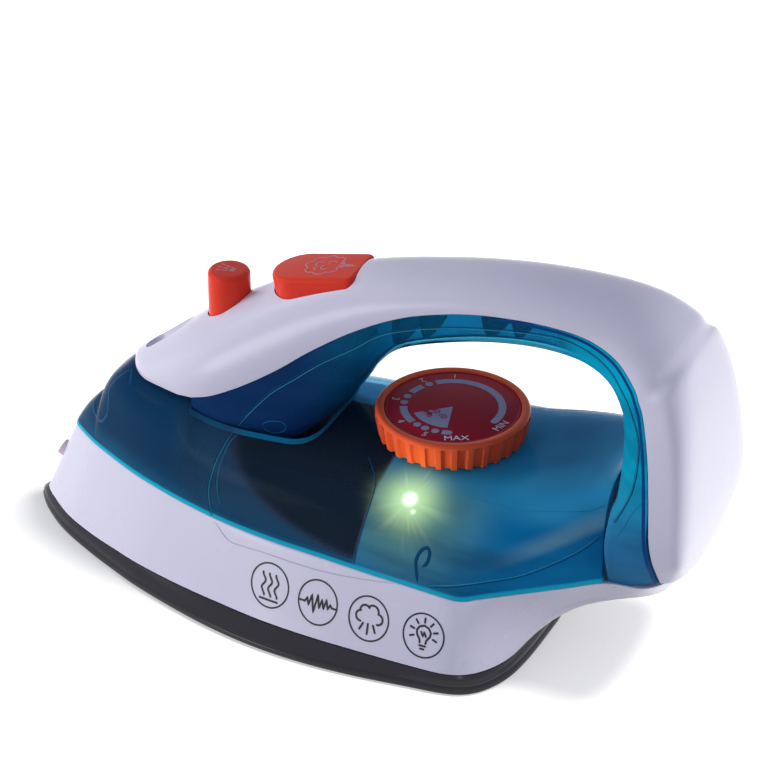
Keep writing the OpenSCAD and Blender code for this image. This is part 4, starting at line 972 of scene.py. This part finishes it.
def makeDialPrint():
    def onDisc(u, v, lift):
        return (dial["x"] + u, v, discTop + lift)

    def onWedge(u, v, lift):
        return onDisc(u, v, inkLift["above"] + lift)
    r = dialPrint["band"]
    parts = [ribbons([(arcPath(0, 0, r, low, high, 40), False)], dialPrint["width"], onDisc, 0.7 * mm, ends)
             for low, high, ends in dialPrint["bars"]]
    parts += [patch(circle(r * math.cos(a), r * math.sin(a), dialPrint["dot"], 24), onDisc)
              for a in np.radians(dialPrint["dots"])]
    parts.append(patch([(0, 0)] + arcPath(0, 0, dialPrint["wedge"], 221, 285, 20), onDisc))
    makePiece("dialPrint", joined(*parts), discPrint, "dial")
    for name, key, material in (("dialWords", "words", wordPrint), ("dialMost", "most", maxPrint)):
        words = []
        for text, angle, size in dialPrint[key]:
            a = math.radians(angle)
            at = onDisc(dialPrint["wordRing"] * math.cos(a), dialPrint["wordRing"] * math.sin(a), 0)
            turn = Matrix.Translation(at) @ Matrix.Rotation(a + math.pi / 2, 4, "Z")
            words.append(moved(lettering(text, size * mm, inkLift["letters"]), turn))
        makePiece(name, joined(*words), material, "dial")
    spiral = list(zip(np.linspace(0.15, 1, 26), np.linspace(0.5, 9.4, 26)))
    swirls = [([((u + size * s * math.cos(a)) * mm, (v + size * s * math.sin(a)) * mm) for s, a in spiral], False)
              for u, v, size in dialPrint["swirls"]]
    swirls += [([((-6.6 + 2.6 * s) * mm, (-5.4 - 0.5 * k + 0.35 * math.sin(s * 6)) * mm)
                 for s in np.linspace(0, 1, 10)], False) for k in range(3)]
    makePiece("dialSwirls", ribbons(swirls, dialPrint["line"], onWedge, 0.4 * mm), darkRedPlastic, "dial")


makeDialPrint()

# Pictograms on the near and far side of the skirt: heat, sound, steam and light, drawn in mm about their own middles

pictograms = {"places": ((-11.4, 17.0), (4.8, 16.6), (21.4, 16.3), (38.9, 16.0)), "radius": 6.3, "ring": 0.5,
              "line": 0.62,
              "beats": ((-6.0, -0.6), (-4.2, -0.6), (-3.5, 0.5), (-2.9, -1.3), (-2.1, 1.6), (-1.1, -3.0), (-0.2, 2.0),
                        (0.6, -1.4), (1.3, 1.0), (2.0, -1.3), (2.7, 1.3), (3.4, -1.0), (4.1, 0.2), (4.7, -0.5),
                        (6.0, -0.5)),
              "cloud": ((-2.6, 0.3, 1.5, 95, 275), (-1.4, 2.0, 1.6, 40, 190), (1.1, 2.2, 1.8, -10, 140),
                        (2.9, 0.4, 1.5, -95, 75)),
              "bulb": ((-0.9, -2.2), (-1.1, -1.2), (-2.0, 0.0), (-2.2, 1.2), (-1.4, 2.4), (0, 2.9), (1.4, 2.4),
                       (2.2, 1.2), (2.0, 0.0), (1.1, -1.2), (0.9, -2.2))}


def iconPaths():
    heat = [[(k + 0.55 * math.sin(z * 1.5), z) for z in np.linspace(-3.1, 3.3, 15)] for k in (-2.1, 0.1, 2.3)]
    heat.append([(-2.9, -4.2), (3.1, -4.2)])
    steamCloud = [arcPath(u, v, r, low, high, 12) for u, v, r, low, high in pictograms["cloud"]]
    steamCloud += [[(-1.6, -1.6), (-2.5, -3.5)], [(0, -1.5), (0, -4.4)], [(1.6, -1.6), (2.5, -3.5)]]
    bulb = [pictograms["bulb"], [(-0.9, -3.0), (0.9, -3.0)], [(-0.5, -3.9), (0.5, -3.9)],
            [(-0.8, 0.9), (-0.2, -0.2), (0.2, 0.9), (0.8, -0.2)]]
    bulb += [[(reach * math.cos(a), 0.6 + reach * math.sin(a)) for reach in (3.2, 4.4)]
             for a in np.radians((-20, 15, 52, 90, 128, 165, 200))]
    return heat, [pictograms["beats"]], steamCloud, bulb


def makePictograms():
    for side, word in ((-1, "near"), (1, "far")):
        def onSkirt(u, v, lift):
            hit, normal, _, _ = skirtTree.ray_cast(Vector((u, side * 0.09, v)), Vector((0, -side, 0)))
            return hit + normal * lift
        parts = []
        for (u, v), paths in zip(pictograms["places"], iconPaths()):
            ring = [(u * mm + p[0] * mm, v * mm + p[1] * mm) for p in circle(0, 0, pictograms["radius"], 72)]
            parts.append(ribbons([(ring, True)], pictograms["ring"] * mm, onSkirt))
            lines = [([((u - side * p[0]) * mm, (v + p[1]) * mm) for p in path], False) for path in paths]
            parts.append(ribbons(lines, pictograms["line"] * mm, onSkirt, 0.3 * mm))
        makePiece("pictograms." + word, joined(*parts), linePrint, "housing")


makePictograms()
print("prints made")

# Moulded crease lines that run over the handle foot, tank and skirt. Their dark lines are painted shade in the steps,
# the bright lines beside them painted highlights, and the grey lines on the white skirt painted shade

crease = {"width": 0.32 * mm, "rise": 0.14 * mm, "apart": 0.55 * mm, "thin": 0.24 * mm, "joint": 1.0 * mm,
          "sunk": 0.12 * mm}
creaseRuns = {  # points in mm, on the near side
    "front": [(-31.9, -21.5, 53.8), (-32.8, -25.5, 51.2), (-34.4, -29.2, 45.0), (-35.5, -30.2, 38.4),
              (-34.7, -30.8, 31.9), (-33.9, -31.2, 30.4)],
    "skirt": [(-32.6, -31.9, 28.9), (-27.4, -34.0, 25.3), (-21.3, -35.2, 25.2), (-14.4, -36.0, 25.5),
              (-2.5, -37.3, 25.4), (7.4, -37.9, 25.7), (17.0, -38.2, 26.6), (28.1, -38.4, 28.1)],
    "rear": [(39.2, -38.9, 30.5), (48.3, -38.7, 33.3), (56.8, -37.3, 36.2), (64.9, -35.2, 38.9), (73.2, -32.2, 43.4),
             (81.0, -28.1, 48.4), (84.8, -25.7, 52.0)],
    "grip": [(88.2, -26.7, 56.4), (90.2, -26.4, 60.1), (93.3, -25.3, 67.9), (94.2, -23.8, 75.4), (93.4, -21.9, 83.6),
             (89.7, -18.9, 90.8), (86.2, -17.2, 95.3), (82.1, -15.9, 99.9), (75.7, -14.8, 103.5),
             (66.7, -14.2, 105.5), (54.7, -13.6, 104.6), (42.6, -13.3, 102.6), (30.5, -13.2, 100.0),
             (21.5, -13.3, 97.3), (12.4, -13.6, 93.7), (3.3, -14.2, 87.0), (-4.2, -15.2, 82.0), (-8.6, -15.8, 78.7),
             (-13.1, -16.5, 74.9), (-20.7, -17.6, 68.6), (-27.0, -18.3, 61.3), (-31.2, -18.5, 55.6)],
    "corner": [(90.2, -27.9, 54.5), (92.5, -27.5, 58.8), (94.1, -26.8, 62.7), (96.4, -26.4, 66.4),
               (97.7, -26.3, 68.7)],
    "shelf": [(45.7, -26.1, 55.0), (55.4, -27.6, 55.8), (62.0, -28.9, 56.7), (73.4, -27.7, 58.4), (81.3, -25.3, 59.4),
              (85.2, -23.2, 61.2)],
    "chamber": [(14.6, -37.4, 30.2), (15.5, -36.8, 35.3), (16.9, -36.3, 42.3), (17.9, -33.0, 49.1),
                (17.5, -28.0, 53.1), (14.8, -24.0, 54.8), (11.4, -20.0, 56.0)],
    "loop": [(35.2, -38.7, 31.0), (34.8, -38.4, 34.5), (34.6, -38.2, 38.0), (35.8, -37.9, 41.2), (37.7, -37.8, 42.8),
             (38.7, -38.0, 41.4), (38.2, -38.2, 38.4), (36.6, -38.3, 36.4)],
    "nose": [(-71.9, -7.5, 58.2), (-73.8, -9.0, 57.1), (-76.0, -9.8, 54.9), (-78.0, -10.4, 51.5),
             (-77.4, -12.4, 48.7), (-77.4, -13.2, 45.6), (-78.4, -13.2, 43.2), (-80.3, -12.4, 40.8),
             (-83.0, -10.0, 39.6), (-86.0, -6.8, 40.0), (-87.2, -4.4, 42.0)],
    "notch": [(-72.0, -7.0, 58.0), (-70.8, -9.6, 58.0), (-69.8, -12.0, 57.4), (-68.9, -13.7, 56.6)],
    "well": [(-23.6, -17.7, 56.7), (-22.2, -17.6, 58.0), (-20.0, -17.3, 58.7), (-17.6, -16.6, 58.6),
             (-16.5, -16.2, 57.0), (-17.6, -15.9, 55.1), (-20.0, -16.2, 54.2), (-22.4, -17.0, 54.8),
             (-23.4, -17.6, 56.2)],
    "inside": [(-29.4, -21.5, 54.0), (-30.6, -23.5, 53.1), (-31.4, -27.2, 49.8), (-32.0, -29.6, 45.2),
               (-31.8, -30.9, 39.8), (-30.6, -31.6, 35.2)]}
onFrame, onlyFaint = ("grip", "corner", "well"), ("corner", "shelf", "inside", "well")
darkWidths = {"chamber": 0.35 * mm, "loop": 1.1 * mm, "nose": 0.9 * mm, "notch": 0.8 * mm}
creaseFinishes = {"joint": jointBlue, "shaded": creaseShade, "bright": creaseHighlight, "faint": creaseFaint,
                  "white": creaseWhiteShade}


# A low ridge with a half round section, along points snapped to the shell and moved sideways on it by shift
def ridge(points, tree, width, rise, shift=0.0):
    rows = smoothRows([[v * mm for v in p] for p in points], 8)
    line = [tree.find_nearest(Vector(p))[:2] for p in rows]
    last = len(line) - 1

    def sideways(i):
        along = line[min(i + 1, last)][0] - line[max(i - 1, 0)][0]
        return along.normalized().cross(line[i][1]).normalized()
    if shift:
        line = [tree.find_nearest(p + sideways(i) * shift)[:2] for i, (p, _) in enumerate(line)]
    section = [(math.cos(a), math.sin(a)) for a in np.radians((0, 35, 70, 110, 145, 180, 240, 300))]
    rings = []
    for i, (p, normal) in enumerate(line):
        half = width / 2 * min(1, (min(i, last - i) + 1) / 6)  # narrower towards both ends
        side = sideways(i)
        rings.append([p + side * (half * c) + normal * ((rise if s > 0 else crease["sunk"]) * s) for c, s in section])
    return stacked(rings)


# A run's lines: kind, width, share of the rise and sideways shift
def linesOf(run):
    if run == "skirt":
        return [("white", crease["width"], 1, 0)]
    if run in onlyFaint:
        return [("faint", crease["thin"], 0.6, 0)]
    if run in darkWidths:
        return [("shaded", darkWidths[run], 0.7, 0)]
    return [("shaded", crease["width"], 1, 0), ("bright", crease["thin"], 1, crease["apart"])]


def makeCreases():
    for side, word in ((-1, "near"), (1, "far")):
        lines = {kind: [] for kind in creaseFinishes}
        joint = [(s[0] * halfLength / mm, side * s[6] * halfWidth / mm, s[1] * ironHeight / mm)
                 for s in handleRows if s[0] > 0.42]
        toward = [(0.985 * x, y, z - 1.1 * max(0.25, z / 116)) for x, y, z in joint[::3]]
        lines["joint"].append(ridge(toward, frameTree, crease["joint"], crease["rise"] * 0.7))
        for run, points in creaseRuns.items():
            tree = skirtTree if run == "skirt" else frameTree if run in onFrame else tankTree
            places = [(x, -side * y, z) for x, y, z in points]
            for kind, width, share, shift in linesOf(run):
                lines[kind].append(ridge(places, tree, width, crease["rise"] * share, side * shift))
        for kind, material in creaseFinishes.items():
            slot = "shell_white" if kind == "white" else "tank_teal"
            makePiece(f"crease.{kind}.{word}", joined(*lines[kind]), material, "housing", sharp=50)


makeCreases()
print("creases made")

# Buttons

button = {"flange": 1.4 * mm, "stem": 1.8 * mm, "stemLength": 2.4 * mm, "sprayEdge": 1.5 * mm, "steamEdge": 1.3 * mm}
# Jets by spread and reach, each of three dashes
sprayPrint = {"jets": ((-0.62, 3.9), (0.0, 4.1), (0.62, 3.9)), "dashes": ((0.12, 0.34), (0.46, 0.68), (0.8, 1.0)),
              "line": 0.42 * mm}
# Cloud as puffs of place and size, curls as arcs, and jets as first and second height, all in mm
steamPrint = {"puffs": ((-17.0, 1.0, 2.0), (-15.6, 3.6, 1.9), (-12.6, 4.6, 1.9), (-9.6, 3.6, 1.9), (-8.4, 0.8, 1.8),
                        (-9.4, -2.4, 1.9), (-12.4, -3.6, 2.0), (-15.6, -2.4, 2.0)),
              "curls": ((-14.6, 1.2, 1.3, 60, 250), (-12.0, -0.9, 1.3, 120, 320), (-10.8, 1.9, 1.1, 20, 200),
                        (-14.2, -1.6, 1.0, 100, 280)),
              "jets": ((1.6, 0.9), (0.2, 0.25), (-1.2, -0.3)), "outline": 0.34 * mm, "line": 0.32 * mm}


def makeSprayButton():
    r, low, high, edge = spray["radius"], spray["base"], spray["top"], button["sprayEdge"]
    flange, stem, foot = button["flange"], button["stem"], low - button["stemLength"]
    profile = [(0, foot), (stem, foot), (stem, low), (r + flange, low), (r + flange, low + flange), (r, low + flange)]
    profile += [(r - edge + edge * math.cos(a), high - edge + edge * math.sin(a))
                for a in np.linspace(0, math.pi / 2, 10)]
    bm = turned(profile + [(r * 0.4, high), (0, high)], 96)
    bm = moved(bm, Matrix.Translation((spray["x"], 0, 0)))
    makePiece("sprayButton", bm, orangePlastic, "spray", "spray_button", 38)

    def onTop(u, v, lift):
        return (spray["x"] + u, v, high + lift)
    dashes = [([((2.6 - reach * 1.5 * s) * mm, (0.3 + s) * spread * 2.4 * mm) for s in dash], False)
              for spread, reach in sprayPrint["jets"] for dash in sprayPrint["dashes"]]
    makePiece("sprayPrint", ribbons(dashes, sprayPrint["line"], onTop), buttonPrint, "spray")


def makeSteamButton():
    edge, flange, low, stem = button["steamEdge"], button["flange"], -steam["depth"], button["stem"]
    levels = [(-flange, low), (-flange, low + flange), (0, low + flange)]
    levels += [(edge * (1 - math.cos(a)), -edge + edge * math.sin(a)) for a in np.linspace(0, math.pi / 2, 9)]
    most = steam["corner"] - 0.3 * mm
    bm = stacked([[(x, y, z) for x, y in steamOutline(min(d, most))] for d, z in levels], 1e-7)
    pin = barrel(stem, low - button["stemLength"], low + 0.5 * mm, (-0.43 * steam["length"], 0, 0), 32)
    bm = moved(carve(bm, pin, "UNION"), steamPlace)
    makePiece("steamButton", bm, orangePlastic, "steam", "steam_button", 38)

    def onTop(u, v, lift):
        return steamPlace @ Vector((u, v, lift))
    cloud = []
    for a, b, r in steamPrint["puffs"]:
        out = math.atan2(b - 0.4, a + 12.7)
        cloud += [((a + r * math.cos(out + t)) * mm, (b + r * math.sin(out + t)) * mm)
                  for t in (1.25, 0.62, 0, -0.62, -1.25)]
    lines = [(arcPath(u * mm, v * mm, r * mm, low, high, 10), False) for u, v, r, low, high in steamPrint["curls"]]
    lines += [([(-8.2 * mm, first * mm), (-5.6 * mm, second * mm), (-2.6 * mm, 0.3 * mm)], False)
              for first, second in steamPrint["jets"]]
    bm = joined(ribbons([(cloud, True)], steamPrint["outline"], onTop, 0.4 * mm),
                ribbons(lines, steamPrint["line"], onTop, 0.4 * mm))
    makePiece("steamPrint", bm, buttonPrint, "steam")


makeSprayButton()
makeSteamButton()
print("buttons made")

# Inner pieces keep their shapes and get their finishes

innerFinishes = {
    "spray_nozzle": pinkPlastic, "dial_retainer": steel, "spray_spring": steel, "spray_switch": switchBlack,
    "steam_spring": steel, "steam_switch": switchBlack, "switch_bracket": innerGrey, "battery_tray": innerDark,
    "cell_left": cellGreen, "cell_middle": cellGreen, "cell_right": cellGreen, "front_contacts": brass,
    "rear_contacts": brass, "battery_door": blackPlastic, "door_screw": steel, "housing_screws": steel,
    "module_case": innerDark, "circuit_board": boardGreen, "lamp": lampLens, "lamp_holder": innerWhite,
    "speaker": speakerPaper, "speaker_clamp": steel, "wire_loom": wireRed}


def finishInnerPieces():
    for name, material in innerFinishes.items():
        piece = nodes[name]
        for slot in piece.material_slots:
            slot.material = material
        if not piece.material_slots:
            piece.data.materials.append(material)


finishInnerPieces()

# Floor, world and lamps

light = {"world": 0.39, "tint": (0.74, 0.79, 1.0), "aim": (0, 0, 0.05)}
# The floor's own painted light rises between two distances from its middle, so that its shadow fades out there
ground = {"own": 0.49, "shade": (0.60, 0.59, 0.56), "bounce": (0.22, 0.22, 0.24), "middle": (-0.035, 0.0, 0.0),
          "near": 0.09, "far": 0.20, "radius": 4.0, "drop": 0.2 * mm}


def makeFloor():
    bm = bmesh.new()
    bmesh.ops.create_circle(bm, cap_ends=True, segments=96, radius=ground["radius"])
    mesh = bpy.data.meshes.new("floor")
    bm.to_mesh(mesh)
    bm.free()
    floor = bpy.data.objects.new("floor", mesh)
    floor.location = (0, 0, -ground["drop"])
    bpy.context.scene.collection.objects.link(floor)
    f = Finish("floor")
    plain, other = [f.node("BsdfDiffuse", None, {"Color": ground[key]}) for key in ("shade", "bounce")]
    grey = f.ease(f.length(f.place() - ground["middle"]), ground["near"], ground["far"], ground["own"], 1.0)
    own = f.node("Emission", None, {"Color": f.mix(grey, (0, 0, 0), (1.0, 1.0, 1.0)), "Strength": 1.0})
    lit = f.node("AddShader", None, {0: plain, 1: own})
    mesh.materials.append(f.finishWith(f.mixShader(f.seen(), other, lit)))
    return floor


def makeWorld():
    world = bpy.data.worlds.new("studio")
    f = Finish("studio", world)
    plain = f.node("Background", None, {"Color": light["tint"], "Strength": light["world"]})
    white = f.node("Background", None, {"Color": (1.0, 1.0, 1.0), "Strength": 1.0})
    f.finishWith(f.mixShader(f.seen(), plain, white), "OutputWorld")
    bpy.context.scene.world = world


# Discs facing the toy's middle. "glossy" False: not seen in reflections. "floorOnly": lights the floor and nothing else
lamps = {
    "left": {"place": (-0.98, -0.30, 0.17), "size": 0.55, "power": 6.9, "colour": (1, 0.98, 0.88), "glossy": False},
    "right": {"place": (0.94, 0.12, 0.16), "size": 0.45, "power": 4.7, "colour": (1, 0.99, 0.92), "glossy": False},
    "gleam": {"place": (-0.75, -0.12, 0.58), "size": 0.24, "power": 0.5, "colour": (0.85, 0.9, 1)},
    "front": {"place": (-0.62, -0.80, 0.17), "size": 0.38, "power": 2.0},
    "window": {"place": (0.50, -0.85, 0.38), "size": 0.14, "power": 0.3},
    "floor": {"place": (0.45, 0.10, 0.90), "size": 0.26, "power": 12.0, "glossy": False, "floorOnly": True}}
lampGlow = {"place": (0.0275, -0.0335, 0.0555), "power": 0.006, "colour": (0.75, 1.0, 0.35), "size": 2 * mm}


def makeLamps(floor):
    onlyGround, allButGround = [bpy.data.collections.new(name) for name in ("ground", "allButGround")]
    for group in (onlyGround, allButGround):
        group.objects.link(floor)
    allButGround.collection_objects[0].light_linking.link_state = "EXCLUDE"
    for name, facts in lamps.items():
        lamp = bpy.data.lights.new(name, "AREA")
        lamp.shape, lamp.size = "DISK", facts["size"]
        lamp.energy, lamp.color = facts["power"], facts.get("colour", (1, 1, 1))
        stand = bpy.data.objects.new(name, lamp)
        stand.location = facts["place"]
        stand.rotation_mode = "QUATERNION"
        stand.rotation_quaternion = (Vector(light["aim"]) - Vector(facts["place"])).to_track_quat("-Z", "Y")
        stand.visible_transmission = False
        stand.visible_glossy = facts.get("glossy", True)
        stand.light_linking.receiver_collection = onlyGround if facts.get("floorOnly") else allButGround
        bpy.context.scene.collection.objects.link(stand)


# The toy's own lamp as a weak light on the dial's rim
def makeLampGlow():
    lamp = bpy.data.lights.new("lampGlow", "POINT")
    lamp.energy, lamp.color, lamp.shadow_soft_size = lampGlow["power"], lampGlow["colour"], lampGlow["size"]
    stand = bpy.data.objects.new("lampGlow", lamp)
    stand.location = lampGlow["place"]
    stand.visible_camera = stand.visible_glossy = stand.visible_transmission = False
    lit = bpy.data.collections.new("litByLamp")
    lit.objects.link(bpy.data.objects["dialKnob"])
    stand.light_linking.receiver_collection = lit
    bpy.context.scene.collection.objects.link(stand)


makeWorld()
makeLamps(makeFloor())
makeLampGlow()
bpy.context.scene.view_settings.view_transform = "Standard"
print("stage made")
